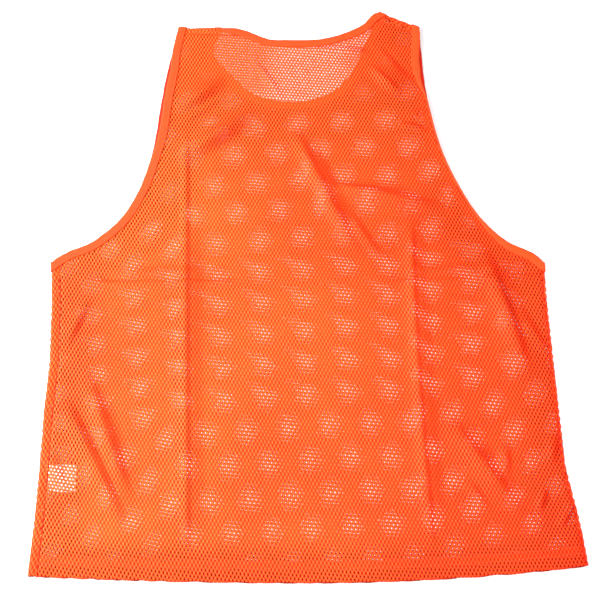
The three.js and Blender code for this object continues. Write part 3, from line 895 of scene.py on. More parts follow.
# %% Profile of the folded tape
TAPE_CLOTH = 0.36  # mm, one layer of the tape itself
TURN_IN = 0.34  # share of the width that the tape's raw edge is turned in by
TAPE_PROFILE = np.array([
    # share of the width from the inner edge, depth below the outer skin
    (TURN_IN, 0.62), (0.16, 0.63), (0.05, 0.60), (0.01, 0.51), (0.0, 0.40), (0.015, 0.28),
    (0.05, 0.20), (0.12, 0.19), (0.19, 0.27), (0.24, 0.33), (0.29, 0.26), (0.38, 0.19),
    (0.55, 0.18), (0.75, 0.19), (0.88, 0.22), (0.95, 0.31), (0.985, 0.50), (1.0, 0.80),
    (0.985, 1.10), (0.95, 1.29), (0.88, 1.38), (0.75, 1.41), (0.55, 1.42), (0.38, 1.41),
    (0.29, 1.34), (0.24, 1.27), (0.19, 1.33), (0.12, 1.41), (0.05, 1.40), (0.015, 1.32),
    (0.0, 1.20), (0.01, 1.09), (0.05, 1.00), (0.16, 0.97), (TURN_IN, 0.98),
])
STITCH_SHARE = 0.24  # the groove that the stitches have pulled into both sides
print("the tape is cut %.1f mm wide" % np.hypot(
    *(np.diff(TAPE_PROFILE, axis=0) * [BINDING_WIDTH, 1]).T).sum())

# %% [markdown]
# A ring is a list of sections. Each section has an outer and an inner edge in plan, an
# angle, and the way in from a fold. At angle 0 the tape is on the table's side, at half a
# turn it is on top, and in between it goes round the fold. So one formula serves all of it.

# %% Sections of a ring
TURN_STEPS = 9


def turn_sections(station, inward, towards_top):
    """Sections round a fold: the same station at nine angles of a half circle."""
    angle = np.linspace(0, np.pi, TURN_STEPS)
    if not towards_top:
        angle = angle[::-1]
    outer, inner = (np.repeat([point], len(angle), axis=0) for point in station)
    return [outer, inner, angle, np.repeat([inward], len(angle), axis=0)]


def flat_sections(points, rows, hand, on_top, side=None):
    """Sections along an edge; on top, shifted where slipped and narrower where rolled."""
    outer, inner = edge_stations(points, rows, hand, BINDING_WIDTH)
    if side and on_top:
        normal = (inner - outer) / BINDING_WIDTH
        outer = outer + normal * back_shift(side, rows)[:, None]
        inner = outer + normal * roll_width(side, rows)[:, None]
    angle = np.full(len(outer), np.pi if on_top else 0.0)
    return [outer, inner, angle, np.zeros_like(outer)]


def join_sections(*runs, steps=5):
    """Runs of sections, one after the other round the ring, eased over the gaps."""
    joined = []
    share = np.linspace(0, 1, steps + 2)[1:-1]
    for k, run in enumerate(runs):
        after = runs[(k + 1) % len(runs)]
        gap = [
            value[-1] + (following[0] - value[-1]) * share.reshape((-1,) + (1,) * (value.ndim - 1))
            for value, following in zip(run, after)
        ]
        leaves_fold = np.any(run[3][-1])
        inward = run[3][-1] if leaves_fold else after[3][0]
        gap[3] = inward * (1 - share if leaves_fold else share)[:, None]
        joined.append([np.concatenate(pair) for pair in zip(run, gap)])
    return [np.concatenate(parts) for parts in zip(*joined)]


# %% From a ring to the frame
def ring_space(sections, share, depth):
    """Points of a ring, section by section: share across the tape and depth in it.

    Height = middle - (middle - depth) * cos(angle), and sin(angle) carries it outwards."""
    outer, inner, angle, inward = sections
    share = np.broadcast_to(share, (len(outer), np.shape(share)[-1]))
    depth = np.broadcast_to(depth, share.shape)
    plan = inner[:, None] + (outer - inner)[:, None] * share[..., None]
    middle = top_of(plan[..., 0], plan[..., 1], TAPE_STACK) / 2
    hinge = top_of(plan[..., 0], plan[..., 1], STACK) / 2
    radius = middle - depth
    bend = hinge - radius * np.sin(angle)[:, None]
    plan = plan + inward[:, None] * bend[..., None]
    return in_frame(plan[..., 0], plan[..., 1], middle - radius * np.cos(angle)[:, None])


def corner_station(side):
    """Outer and inner edge of a binding where it crosses the side fold."""
    low = UNDERARM - CORNER_DROP
    return [(side_x(side, UNDERARM), UNDERARM), (side_x(side, low), low)]


def fold_station(point, other):
    """Outer and inner edge of a binding where it crosses a shoulder fold, along the fold."""
    run = (other - point) / np.linalg.norm(other - point)
    return [point, point + run * BINDING_WIDTH]


ARM_RUN = np.linspace(0.55, 7.75, 110)  # rows of the table, from underarm to shoulder
NECK_BACK_RUN = np.linspace(0.7, 7.3, 70)
NECK_FRONT_RUN = np.linspace(9.6, 0.4, 90)


def armhole_ring(side):
    """Up the back from the underarm fold, over the shoulder, and down the front."""
    inward = (HANDS[side], 0)
    ends = SHOULDER_FOLD[side] if side == "left" else SHOULDER_FOLD[side][::-1]
    rows = ARM_RUN
    hand = HANDS[side]
    return join_sections(
        turn_sections(corner_station(side), inward, True),
        flat_sections(ARM[side], rows, hand, True, side),
        turn_sections(fold_station(*ends), (0, -1), False),
        flat_sections(ARM[side], rows[::-1], hand, False),
    )


def neck_ring():
    """Round the back neck from the left shoulder, and back round the front neck."""
    left, right = SHOULDER_FOLD["left"], SHOULDER_FOLD["right"]
    return join_sections(
        turn_sections(fold_station(left[1], left[0]), (0, -1), True),
        flat_sections(NECK["back"], NECK_BACK_RUN, 1, True),
        turn_sections(fold_station(right[0], right[1]), (0, -1), False),
        flat_sections(NECK["front"], NECK_FRONT_RUN, 1, False),
    )


# %% The three rings of tape
PUCKER = {"beats": (9, 17, 29, 47), "across": 0.012, "up": 0.035}
RINGS = {
    "neck_tape": neck_ring(),
    "armhole_tape_left": armhole_ring("left"),
    "armhole_tape_right": armhole_ring("right"),
}
RING_SHADE = {"neck_tape": 0.0, "armhole_tape_left": 0.9, "armhole_tape_right": 0.9}


def tape_ring(name, sections, seed, shade):
    """The profile carried round the ring, with a faint pucker from four slow waves.

    The front's half of an armhole ring, which peeps out below the back's, takes painted shade in
    its colour."""
    share, depth = TAPE_PROFILE.T
    count = len(sections[0])
    turn = np.linspace(0, 2 * np.pi, count, endpoint=False)[:, None]
    waves = np.random.default_rng(seed).uniform(0, 2 * np.pi, (4, 1, 1))
    beats = np.array(PUCKER["beats"]).reshape(4, 1, 1)
    pucker = np.sin(turn[None] * beats + waves).sum(axis=0)
    points = ring_space(
        sections, share + PUCKER["across"] * pucker * share,
        depth + PUCKER["up"] * pucker * np.sin(np.pi * share))
    points[..., 2] = np.maximum(points[..., 2], TABLE + TAPE_CLOTH / 2000)
    middle = points.mean(axis=1)
    along = np.cumsum(np.linalg.norm(np.roll(middle, -1, axis=0) - middle, axis=1))
    steps = np.diff(TAPE_PROFILE, axis=0) * [BINDING_WIDTH, 1]
    across = np.concatenate([[0], np.cumsum(np.hypot(*steps.T))])
    uv = np.stack(np.broadcast_arrays(along[:, None] * 1000, across[None, :]), axis=-1)
    faces = grid_faces(count, len(share), close_rows=True)
    # Painted shade: most on the table's side of the ring, none on top.
    below = shade * (0.5 + 0.5 * np.cos(sections[2]))[:, None]
    shades = {"covered": np.broadcast_to(below, points.shape[:2])}
    piece = cloth_mesh(name, points, [faces], uv, shades)
    thicken(piece, TAPE_CLOTH)
    print("   ring %.0f mm round" % (along[-1] * 1000))
    return piece, along[-1], across[-1] / 1000


tapes = {
    name: tape_ring(name, ring, 20 + k, RING_SHADE[name])
    for k, (name, ring) in enumerate(RINGS.items())
}

# %% [markdown]
# ## Stitches
#
# A stitch is a short soft bead of thread, sunk at both ends where it goes into the cloth.
# Thousands of them are one mesh for each row: one bead is worked out as a small grid, and
# arrays place it at every station. Each has 56 triangles. Real curves with a bevel would
# need one object, or one spline, for every stitch.

# %% Beads of thread along a path
BEAD_RINGS = np.array([-1.0, -0.7, 0.0, 0.7, 1.0])  # places along a bead, end to end
BEAD_GIRTH = np.array([0.35, 0.85, 1.0, 0.85, 0.35])  # its girth there, as a share
BEAD_SINK = np.array([0.55, 0.15, 0.0, 0.15, 0.55])  # how deep it dips there, in girths
BEAD_SIDES = 6
BEAD_FLATNESS = 0.7


def along_path(path, out, spacing):
    """Points at an even spacing along a polyline, with the unit run and the way out at each."""
    step = np.linalg.norm(np.diff(path, axis=0), axis=1)
    length = np.concatenate([[0], np.cumsum(step)])
    at = np.arange(spacing / 2, length[-1], spacing)
    points, ahead, out = (
        np.stack([np.interp(places, length, values[:, k]) for k in range(3)], axis=1)
        for places, values in ((at, path), (at + spacing / 4, path), (at, out))
    )
    run = ahead - points
    return points, run / np.maximum(np.linalg.norm(run, axis=1, keepdims=True), 1e-9), out


def stitches(name, paths, outward, spacing, length, girth):
    """Beads: centre + run * t * length/2 + ring of radius girth/2, a little flattened."""
    all_points, all_faces, count = [], [], 0
    for path, out in zip(paths, outward):
        centre, run, out = along_path(path, np.broadcast_to(out, path.shape), spacing / 1000)
        side = np.cross(run, out)
        side /= np.linalg.norm(side, axis=1, keepdims=True)
        out = np.cross(side, run)
        angle = np.linspace(0, 2 * np.pi, BEAD_SIDES, endpoint=False)
        ring = girth / 2000 * BEAD_GIRTH[:, None]
        aside = ring * np.cos(angle)
        above = BEAD_FLATNESS * ring * np.sin(angle) - girth / 1000 * BEAD_SINK[:, None]
        ahead = np.broadcast_to(BEAD_RINGS[:, None] * length / 2000, aside.shape)
        bead = (centre[:, None, None] + run[:, None, None] * ahead[..., None]
                + side[:, None, None] * aside[..., None] + out[:, None, None] * above[..., None])
        bead[..., 2] = np.maximum(bead[..., 2], TABLE)
        all_points.append(bead.reshape(-1, 3))
        one = grid_faces(len(BEAD_RINGS), BEAD_SIDES, close_columns=True)[:, ::-1]
        size = len(BEAD_RINGS) * BEAD_SIDES
        start = (np.arange(len(centre)) * size + count)[:, None, None]
        all_faces.append((start + one[None]).reshape(-1, 4))
        cap = np.arange(BEAD_SIDES)
        ends = np.stack([cap, cap[::-1] + size - BEAD_SIDES])
        all_faces.append((start + ends[None]).reshape(-1, BEAD_SIDES))
        count += len(centre) * size
    return cloth_mesh(name, np.concatenate(all_points), all_faces)


# %% Rows of stitches on the tapes
STITCH = {"spacing": 3.1, "length": 2.7, "girth": 0.42}
JOIN_STITCH = {"spacing": 1.5, "length": 1.5, "girth": 0.5}
STITCH_DEPTH = 0.18
JOIN = {"section": 13, "from": 0.04, "to": 0.92, "depth": 0.16}
UPWARDS = np.array([0.0, 0.0, 1.0])


def on_ring(sections, share, depth):
    """Points at a depth in the tape, and the unit way from the tape's middle out to them."""
    skin = ring_space(sections, share, np.full(np.shape(share), depth))
    out = skin - ring_space(sections, share, np.full(np.shape(share), TAPE / 2))
    return skin, out / np.linalg.norm(out, axis=-1, keepdims=True)


def stitch_rows(depth):
    """Closed paths of the stitch rows of all three rings, and the way out along them."""
    rows = [on_ring(ring, np.array([STITCH_SHARE]), depth) for ring in RINGS.values()]
    return [[np.concatenate([part, part[:1]])[:, 0] for part in row] for row in rows]


def join_row(sections):
    """Short line across the tape beside the side fold, where the ring's ends are joined."""
    one = [part[JOIN["section"]:JOIN["section"] + 1] for part in sections]
    shares = np.linspace(JOIN["from"], JOIN["to"], 12)
    return [part[0] for part in on_ring(one, shares, JOIN["depth"])]


tape_stitches = stitches("tape_stitches", *zip(*stitch_rows(STITCH_DEPTH)), **STITCH)
tape_stitches_inside = stitches(
    "tape_stitches_inside", *zip(*stitch_rows(TAPE - STITCH_DEPTH)), **STITCH)
joins = [join_row(RINGS["armhole_tape_" + side]) for side in HANDS]
join_stitches = stitches("join_stitches", *zip(*joins), **JOIN_STITCH)

# %% [markdown]
# ## The hem
#
# The hem is turned up 24 mm and held by a cover stitch: two rows of straight stitches
# outside, and inside a looper thread that runs to and fro between them. Through the net
# the looper thread shows as a paler band.

# %% Lines along the hem
HEM_ROWS = (23.0, 15.5)
HEM_THREAD_DEPTH = 0.25
LOOPER = {"pitch": 2.4, "girth": 0.5, "flatness": 0.6}
LOOPER_DEPTH = {"back": 2.35, "front": 2.2}  # on the inner skin of the turned-up hem


def hem_ends(up, margin):
    """Both ends of a level line along the hem, a margin inside the side seams."""
    left = side_x("left", up) + SEAM_IN["left"] + margin
    return left, side_x("right", up) - SEAM_IN["right"] - margin


def hem_path(up, back, depth, points=260):
    """A level line along one panel's hem at a depth in its turned-up layers."""
    x = np.linspace(*hem_ends(up, 1), points)
    ups = np.full(points, float(up))
    z = top_of(x, ups, STACK) - depth if back else np.full(points, depth)
    return in_frame(x, ups, z)


def looper(name, back, depth):
    """Thread that zigzags between both rows: a tube of four sides round a triangle wave."""
    high, low = HEM_ROWS
    left, right = hem_ends(low, 2)
    count = int((right - left) / (LOOPER["pitch"] / 2))
    x = np.linspace(left, right, count)
    up = np.where(np.arange(count) % 2 == 0, low, high)
    x, up = np.repeat(x, 2)[1:-1], np.repeat(up, 2)[1:-1]
    z = top_of(x, up, STACK) - depth if back else np.full(len(x), depth)
    angle = np.radians([0, 90, 180, 270])
    radius = LOOPER["girth"] / 2
    around_x = x[:, None] + radius * np.cos(angle)
    around_z = z[:, None] + radius * np.sin(angle) * LOOPER["flatness"]
    points = in_frame(around_x, np.broadcast_to(up[:, None], around_x.shape), around_z)
    return cloth_mesh(name, points, [grid_faces(len(x), 4, close_columns=True)])


# %% Cover stitch of both hems
back_hem_paths = [hem_path(up, True, HEM_THREAD_DEPTH) for up in HEM_ROWS]
front_hem_paths = [hem_path(up, False, HEM_THREAD_DEPTH) for up in HEM_ROWS]
hem_stitches = stitches("hem_stitches_back", back_hem_paths, [UPWARDS] * 2, **STITCH)
hem_stitches_front = stitches(
    "hem_stitches_front", front_hem_paths, [-UPWARDS] * 2, **STITCH)
looper_back = looper("hem_looper_back", True, LOOPER_DEPTH["back"])
looper_front = looper("hem_looper_front", False, LOOPER_DEPTH["front"])

# %% [markdown]
# ## Side and shoulder seams
#
# The panels are overlocked together. From outside a seam is a narrow groove with a cord of
# thread at its bottom. The thread is a deeper red than the net: partly its own colour and
# partly painted shade of the groove. It is a shallow ribbon with a twist, laid in the groove
# that the panels' own surfaces already have.

# %% Ribbon of seam thread
SEAM_THREAD = {"width": 1.7, "below": 0.85, "crown": 0.5, "twist": 3.2, "beat": 0.25}


def seam_ribbon(name, x, up):
    """Ribbon along a line in plan: crown * (1 - s^2) across, beating with the stitches."""
    run = np.stack([np.gradient(x), np.gradient(up)], axis=1)
    length = np.concatenate([[0], np.cumsum(np.hypot(np.diff(x), np.diff(up)))])
    run /= np.linalg.norm(run, axis=1, keepdims=True)
    share = np.linspace(-1, 1, 7)
    aside = share * SEAM_THREAD["width"] / 2
    wide_x = x[:, None] + run[:, 1:] * aside
    wide_up = up[:, None] - run[:, :1] * aside
    wave = np.sin(2 * np.pi * length / SEAM_THREAD["twist"])[:, None]
    crown = SEAM_THREAD["crown"] * (1 - share ** 2) * (1 + SEAM_THREAD["beat"] * (wave - 1))
    z = top_of(wide_x, wide_up, STACK) - MID - SEAM_THREAD["below"] + crown
    uv = np.stack(np.broadcast_arrays(length[:, None], aside[None, :]), axis=-1)
    faces = grid_faces(len(x), len(share))[:, ::-1]
    return cloth_mesh(name, in_frame(wide_x, wide_up, z), [faces], uv)


# %% Side and shoulder seams
SIDE_SEAM = {"low": 3, "below_arm": 8, "points": 520}
SHOULDER_SEAM = {"under_tape": 3, "points": 90}
seams = {}
for side, hand in HANDS.items():
    ups = np.linspace(SIDE_SEAM["low"], UNDERARM - SIDE_SEAM["below_arm"], SIDE_SEAM["points"])
    xs = side_x(side, ups) + hand * SEAM_IN[side]
    seams["side_seam_" + side] = seam_ribbon("side_seam_" + side, xs, ups)
    (x1, up1), (x2, up2) = SEAM_LINE[side]
    ends = x1 - SHOULDER_SEAM["under_tape"], x2 + SHOULDER_SEAM["under_tape"]
    xs = np.linspace(*ends, SHOULDER_SEAM["points"])
    ups = np.linspace(up1, up2, SHOULDER_SEAM["points"])
    seams["shoulder_seam_" + side] = seam_ribbon("shoulder_seam_" + side, xs, ups)

# %% [markdown]
# ## Care label
#
# A blank label of white satin tape is caught in the left side seam and lies between the
# layers. Only its whiteness shows, through the holes of the upper net. It is a small sheet
# with a faint wave, thickened, with its edge row heat-cut and so a little raised.

# %% The label
SATIN = 0.2
LABEL_WAVE = 0.08
LABEL_LIP = {"rise": 0.1, "share": 0.03}


def care_label():
    """Sheet: z = middle + a slow wave both ways + a small lip along the edges."""
    s, t = np.meshgrid(np.linspace(0, 1, 41), np.linspace(0, 1, 43))
    x = label_x + LABEL["width"] * s
    up = LABEL["up"] + LABEL["length"] * (t - 0.5)
    wave = LABEL_WAVE * np.sin(2.2 * np.pi * s + 1.1) * np.cos(1.7 * np.pi * t)
    edge = np.minimum.reduce([s, 1 - s, t, 1 - t])
    lip = LABEL_LIP["rise"] * bell(edge, 0, LABEL_LIP["share"])
    z = (LABEL["low"] + LABEL["high"]) / 2 + wave + lip
    uv = np.stack([s * LABEL["width"], t * LABEL["length"]], axis=-1)
    piece = cloth_mesh("care_label_satin", in_frame(x, up, z), [grid_faces(*s.shape)], uv)
    thicken(piece, SATIN)
    return piece


label = care_label()

# %% [markdown]
# ## Ties to the solids
#
# Each piece rides on the one body of the bib and stands for its solid, which is hidden.
# Threads stand for no solid, so they only ride along.

# %% Ride and replace
NET_PIECES = {"back_net": "back_panel", "front_net": "front_panel"}
TAPE_PIECES = {
    "neck_tape": "neck_binding",
    "armhole_tape_left": "armhole_binding_left",
    "armhole_tape_right": "armhole_binding_right",
}
thread_pieces = [
    tape_stitches, tape_stitches_inside, join_stitches, hem_stitches, hem_stitches_front,
    looper_back, looper_front, *seams.values(),
]
for name, node in {**NET_PIECES, **TAPE_PIECES, "care_label_satin": "care_label"}.items():
    piece = bpy.data.objects[name]
    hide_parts(node)
    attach(piece, "root")
for piece in thread_pieces:
    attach(piece, "root")


polygon_area(back_cut)
polygon_area(front_cut)

# %% [markdown]
# ## Writing materials as sums
#
# Node trees are easier to read as formulas. The class below wraps a node's output, so that
# a sum of two of them adds a Math node. Every other node comes from one method.

# %% A socket that can be added and multiplied
class Wire:
    """An output socket in a material. Signs between wires and numbers add Math nodes."""

    def __init__(self, finish, socket):
        self.finish = finish
        self.socket = socket

    def math(self, operation, first, second=None):
        values = [first] if second is None else [first, second]
        return self.finish.node("ShaderNodeMath", {"operation": operation}, dict(enumerate(values)))

    def __add__(self, other):
        return self.math("ADD", self, other)

    __radd__ = __add__

    def __sub__(self, other):
        return self.math("SUBTRACT", self, other)

    def __rsub__(self, other):
        return self.math("SUBTRACT", other, self)

    def __mul__(self, other):
        return self.math("MULTIPLY", self, other)

    __rmul__ = __mul__

    def __truediv__(self, other):
        return self.math("DIVIDE", self, other)

    def __rtruediv__(self, other):
        return self.math("DIVIDE", other, self)

    def sin(self):
        return self.math("SINE", self)

    def cos(self):
        return self.math("COSINE", self)

    def clipped(self):
        """The same, kept between 0 and 1."""
        return self.finish.node(
            "ShaderNodeMath", {"operation": "ADD", "use_clamp": True}, {0: self, 1: 0.0})


# %% A material made of such sockets
class Finish:
    """A material whose nodes are added one at a time."""

    def __init__(self, name):
        self.material = bpy.data.materials.new(name)
        self.material.use_nodes = True
        self.tree = self.material.node_tree
        self.shader = self.tree.nodes["Principled BSDF"]

    def node(self, kind, settings=None, values=None, out=0):
        """Adds a node: its settings first, then the numbers or wires of its sockets."""
        node = self.tree.nodes.new(kind)
        for name, value in (settings or {}).items():
            setattr(node, name, value)
        for key, value in (values or {}).items():
            if isinstance(value, Wire):
                self.tree.links.new(value.socket, node.inputs[key])
            else:
                node.inputs[key].default_value = value
        return Wire(self, node.outputs[out])

    def set(self, **sockets):
        """Numbers, colours or wires for the shader's own sockets, spaces as underscores."""
        for name, value in sockets.items():
            socket = self.shader.inputs[name.replace("_", " ")]
            if isinstance(value, Wire):
                self.tree.links.new(value.socket, socket)
            else:
                socket.default_value = value

    def noise(self, scale, detail=2.0, stretch=(1, 1, 1)):
        """Noise on the object's own coordinates, about 0.5, stretched along an axis."""
        where = self.node("ShaderNodeTexCoord", out="Object")
        scaled = self.node("ShaderNodeMapping", None, {"Vector": where, "Scale": stretch})
        return self.node("ShaderNodeTexNoise", None,
                         {"Vector": scaled, "Scale": scale, "Detail": detail})

    def weave(self):
        """The two coordinates that run with the cloth."""
        where = self.node("ShaderNodeUVMap", {"uv_map": "weave"})
        first = self.node("ShaderNodeSeparateXYZ", None, {0: where})
        return first, Wire(self, first.socket.node.outputs[1])

    def shade(self, name):
        """A number that the mesh holds for each of its points, such as how much painted shade it
        takes.
        """
        return self.node("ShaderNodeAttribute", {"attribute_name": name}, out="Fac")

    def across(self, low, high):
        """0 at one x of the object and 1 at another, in metres."""
        where = self.node("ShaderNodeTexCoord", out="Object")
        x = self.node("ShaderNodeSeparateXYZ", None, {0: where})
        return ((x - low) / (high - low)).clipped()

    def mix(self, share, first, second):
        """Colour between two colours."""
        return self.node("ShaderNodeMix", {"data_type": "RGBA"},
                         {0: share, 6: first, 7: second}, out=2)

    def bump(self, height, distance, strength):
        """Relief: height in shares of a distance in metres."""
        return self.node("ShaderNodeBump", None,
                         {"Height": height, "Distance": distance, "Strength": strength})


def wave_of(wire):
    """Sine of a wire, moved to run from 0 to 1."""
    return wire.sin() * 0.5 + 0.5


# %% [markdown]
# ## Net finish
#
# The yarn is bright orange polyester. Each strand is a few filaments side by side: round
# in relief, with fine lines along the knit. The phase from before is the net's own UV map,
# so the relief follows every strand: cos(2 pi u) cos(pi v) is lowest in the holes. Between
# the filaments a little light comes straight through, most at a strand's edges.
#
# The colour goes from deep to bright with the relief: painted shade at the strands' edges,
# where a real strand's thickness shades itself. Towards the right it goes from orange to a
# redder orange: the painted falloff of the window's light. The painted red shade and the
# painted shade, the two numbers that each panel was given for its points, then mix in two
# darker reds.

# %% Material of the net
# Deep to bright is painted shade at the strands' edges, left to right the painted falloff of the
# window's light; the last two are the painted red shade and the painted shade.
NET_COLOURS = {
    "left": ((0.84, 0.028, 0.002, 1), (1.0, 0.172, 0.028, 1)),  # deep, then bright
    "right": ((0.84, 0.013, 0.001, 1), (1.0, 0.084, 0.014, 1)),
    "blush": (0.98, 0.026, 0.002, 1),
    "covered": (0.34, 0.006, 0.0, 1),
}
# Between these two places the colour goes redder: the painted falloff of the window's light.
PAINTED_FALLOFF_FROM, PAINTED_FALLOFF_TO = -0.14, 0.29  # metres across the bib
RED_SHADE_SHARE = 0.6
FILAMENTS = {"number": 7, "sway": 5}
LOOPS_A_ROW = 3
WHOLE_TURN = 2 * np.pi


def net_finish():
    """Colour, gloss and relief of the strands, all worked out from the net's phase."""
    finish = Finish("orange_net")
    u, v = finish.weave()
    relief = 0.5 - 0.5 * (u * WHOLE_TURN).cos() * (v * np.pi).cos()
    sway = (v * np.pi).sin() * FILAMENTS["sway"]
    filament = wave_of(u * (WHOLE_TURN * FILAMENTS["number"]) + sway)
    loops = wave_of(v * (WHOLE_TURN * LOOPS_A_ROW))
    fluff = finish.noise(2600, 3.0)
    patch = finish.noise(5.5, 3.0)
    # Painted shade: darker where the relief is low, at the strands' edges round the holes;
    # filament, fluff and patch add the yarn's own uneven tone.
    tone = (1.3 * relief - 0.42 + 0.25 * (filament * 0.5 + fluff * 0.5)
            + 0.6 * (patch - 0.5)).clipped()
    # Painted falloff of the window's light: lit colours on the left, redder ones on the right.
    lit = finish.mix(tone, *NET_COLOURS["left"])
    redder = finish.mix(tone, *NET_COLOURS["right"])
    colour = finish.mix(finish.across(PAINTED_FALLOFF_FROM, PAINTED_FALLOFF_TO), lit, redder)
    # Painted red shade on crease flanks and over the double hem.
    colour = finish.mix(finish.shade("blush") * RED_SHADE_SHARE, colour, NET_COLOURS["blush"])
    # Painted shade on the lower net under the back and on the hem's inner layer.
    colour = finish.mix(finish.shade("covered"), colour, NET_COLOURS["covered"])
    height = relief * 0.55 + filament * 0.12 + loops * 0.12 + fluff * 0.15
    opacity = (0.93 + 0.2 * (relief - 0.4) + 0.1 * (fluff - 0.5)).clipped()
    finish.set(
        Base_Color=colour, Roughness=0.62 - 0.12 * relief, Alpha=opacity,
        Normal=finish.bump(height, 0.0006, 0.9), Sheen_Weight=0.02, Sheen_Roughness=0.45,
        Specular_IOR_Level=0.10)
    return finish.material


# %% [markdown]
# ## Finish of tape, thread and label
#
# The tape is a close, smooth knit of the same yarn: fine ribs run along it and courses go
# across, both in millimetres on its own UV map. Thread is duller and twisted, which noise
# stretched to one side gives well enough at this size. The label is satin: long floats
# of thread, so it is the one glossy thing here.

# %% Material of the tape
TAPE_COLOURS = {
    "deep": (0.86, 0.034, 0.001, 1),
    "bright": (0.96, 0.078, 0.006, 1),
    "covered": (0.74, 0.016, 0.001, 1),
}
TAPE_KNIT = {"rib": 0.9, "course": 0.7}  # mm


def tape_finish():
    """Ribs and courses as two crossing waves, the courses bent a little by the ribs."""
    finish = Finish("orange_tape")
    along, across = finish.weave()
    rib = wave_of(across * (WHOLE_TURN / TAPE_KNIT["rib"]))
    course = wave_of(along * (WHOLE_TURN / TAPE_KNIT["course"]) + rib * 2.0)
    fluff = finish.noise(1800, 3.0)
    patch = finish.noise(14.0, 3.0)
    tone = (0.35 + 0.2 * rib + 0.2 * course * rib + 0.2 * fluff + 0.5 * (patch - 0.5)).clipped()
    colour = finish.mix(tone, TAPE_COLOURS["deep"], TAPE_COLOURS["bright"])
    # Painted shade on the front half of each armhole ring.
    colour = finish.mix(finish.shade("covered"), colour, TAPE_COLOURS["covered"])
    height = rib * 0.4 + course * 0.35 + fluff * 0.25
    finish.set(
        Base_Color=colour, Roughness=0.6 - 0.08 * rib, Normal=finish.bump(height, 0.0003, 0.7),
        Sheen_Weight=0.06, Sheen_Roughness=0.5, Specular_IOR_Level=0.22)
    return finish.material


# %% Materials of thread and label
THREAD_COLOURS = {
    "orange_thread": ((0.84, 0.055, 0.01, 1), (0.96, 0.12, 0.03, 1)),  # dark, then light
    # The seam thread's deep red is partly painted shade of the seam's groove; the tape's joins use
    # it too.
    "seam_thread_and_shade": ((0.42, 0.004, 0.001, 1), (0.72, 0.014, 0.002, 1)),
    "shoulder_thread": ((0.70, 0.020, 0.002, 1), (0.92, 0.060, 0.008, 1)),
}
THREAD_GLOSS = {"orange_thread": 0.4, "seam_thread_and_shade": 0.1, "shoulder_thread": 0.1}
LABEL_COLOURS = ((0.86, 0.84, 0.81, 1), (0.97, 0.96, 0.94, 1))
SATIN_WEAVE = {"rib": 0.45, "float": 1.1}  # mm


def thread_finish(name):
    """Twist as stretched noise, over slow patches, from the dark to the light colour."""
    finish = Finish(name)
    twist = finish.noise(3200, 2.0, (1, 1, 2.2))
    patch = finish.noise(90, 2.0)
    tone = (0.6 * twist + 0.6 * patch - 0.1).clipped()
    finish.set(
        Base_Color=finish.mix(tone, *THREAD_COLOURS[name]), Roughness=0.5 + 0.2 * twist,
        Normal=finish.bump(twist, 0.0002, 0.8), Specular_IOR_Level=THREAD_GLOSS[name])
    return finish.material


def label_finish():
    """Fine ribs one way and long floats the other."""
    finish = Finish("white_satin")
    along, across = finish.weave()
    ribs = wave_of(across * (WHOLE_TURN / SATIN_WEAVE["rib"]))
    floats = wave_of(along * (WHOLE_TURN / SATIN_WEAVE["float"]) + across * 3.0)
    cloudy = finish.noise(60, 2.0)
    colour = finish.mix((0.5 * ribs + 0.5 * cloudy).clipped(), *LABEL_COLOURS)
    finish.set(
        Base_Color=colour, Roughness=0.34 + 0.12 * floats,
        Normal=finish.bump(0.6 * ribs + 0.4 * floats, 0.0001, 0.5), Sheen_Weight=0.1)
    return finish.material


# %% Each piece gets its finish
net_material = net_finish()
tape_material = tape_finish()
threads = {name: thread_finish(name) for name in THREAD_COLOURS}
for name in NET_PIECES:
    bpy.data.objects[name].data.materials.append(net_material)
for name in TAPE_PIECES:
    bpy.data.objects[name].data.materials.append(tape_material)
for piece in thread_pieces:
    thread = "orange_thread"
    if piece in seams.values() or piece is join_stitches:
        thread = "shoulder_thread" if "shoulder" in piece.name else "seam_thread_and_shade"
    piece.data.materials.append(threads[thread])
label_material = label_finish()
label.data.materials.append(label_material)
for material in (net_material, tape_material, *threads.values(), label_material):
    print(material.name, "has", len(material.node_tree.nodes), "nodes")

# %% [markdown]
# ## Table, light and camera
#
# The table is plain white. Soft light comes from the left, so each crease has a pale left
# side and a shaded right side, and a wide light over the camera reaches the table through
# both nets. The camera looks down at the flat bib from the hem's side, 20 degrees from
# straight down.

# %% The table
TABLE_HALF = 3.0
BELOW_CLOTH = 0.0002  # so that the table and the cloth's lowest faces don't flicker


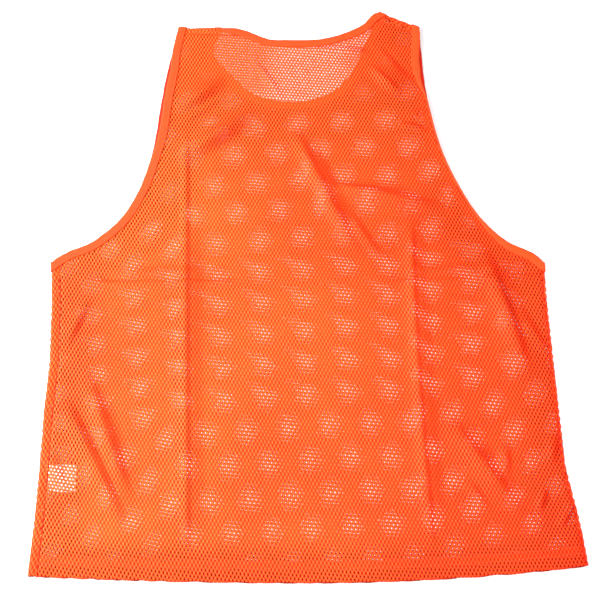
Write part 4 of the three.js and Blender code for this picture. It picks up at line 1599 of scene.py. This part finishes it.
def table_top():
    """Large plane just below the height where the bib rests."""
    corners = np.array([(-1, -1), (1, -1), (1, 1), (-1, 1)]) * TABLE_HALF
    points = np.column_stack([corners, np.full(4, TABLE - BELOW_CLOTH)])
    piece = cloth_mesh("floor", points, [np.array([[0, 1, 2, 3]])])
    finish = Finish("white_table")
    mottle = finish.noise(3.0, 2.0)
    finish.set(Base_Color=finish.mix(mottle, (0.97, 0.97, 0.97, 1), (0.99, 0.99, 0.99, 1)),
               Roughness=0.8, Specular_IOR_Level=0.1)
    piece.data.materials.append(finish.material)
    return piece


floor = table_top()


# %% Lights
LIGHTS = {
    "window": {
        "place": (-2.4, 0.48, 1.28), "target": (-0.05, 0.0, 0.0), "size": 0.8, "power": 186},
    "lamp_over_camera": {
        "place": (-0.05, -0.60, 1.55), "target": (0.0, 0.0, 0.0), "size": 0.35, "power": 25},
}
ROOM_LIGHT = 0.26


def area_light(name, place, target, size, power):
    """Round soft light whose back axis points away from its target."""
    data = bpy.data.lights.new(name, "AREA")
    data.shape = "DISK"
    data.size = size
    data.energy = power
    lamp = bpy.data.objects.new(name, data)
    bpy.context.scene.collection.objects.link(lamp)
    lamp.location = place
    aim = Vector(target) - Vector(place)
    lamp.rotation_mode = "QUATERNION"
    lamp.rotation_quaternion = aim.to_track_quat("-Z", "Y")
    print("%s: %.2f m away, %d W" % (name, aim.length, power))


for name, light in LIGHTS.items():
    area_light(name, **light)

world = bpy.data.worlds.new("studio")
world.use_nodes = True
background = world.node_tree.nodes["Background"]
background.inputs["Color"].default_value = (1, 1, 1, 1)
background.inputs["Strength"].default_value = ROOM_LIGHT
bpy.context.scene.world = world
bpy.context.scene.view_settings.view_transform = "Standard"

# %% Camera
CAMERA = {"tilt": 20.0, "distance": 1.320, "aim": (-0.0080, -0.0355), "focal_px": 1125}
PICTURE = 600  # pixels across the picture, which the focal length is counted in
tilt = np.radians(CAMERA["tilt"])
camera_data = bpy.data.cameras.new("camera")
camera_data.sensor_width = 36.0
camera_data.sensor_fit = "HORIZONTAL"
camera_data.lens = CAMERA["focal_px"] / PICTURE * camera_data.sensor_width
camera = bpy.data.objects.new("camera", camera_data)
bpy.context.scene.collection.objects.link(camera)
camera.location = (
    CAMERA["aim"][0],
    CAMERA["aim"][1] - CAMERA["distance"] * np.sin(tilt),
    CAMERA["distance"] * np.cos(tilt),
)
camera.rotation_euler = (tilt, 0, 0)
bpy.context.scene.camera = camera
print("lens %.1f mm, camera at" % camera_data.lens, np.round(camera.location, 3).tolist())
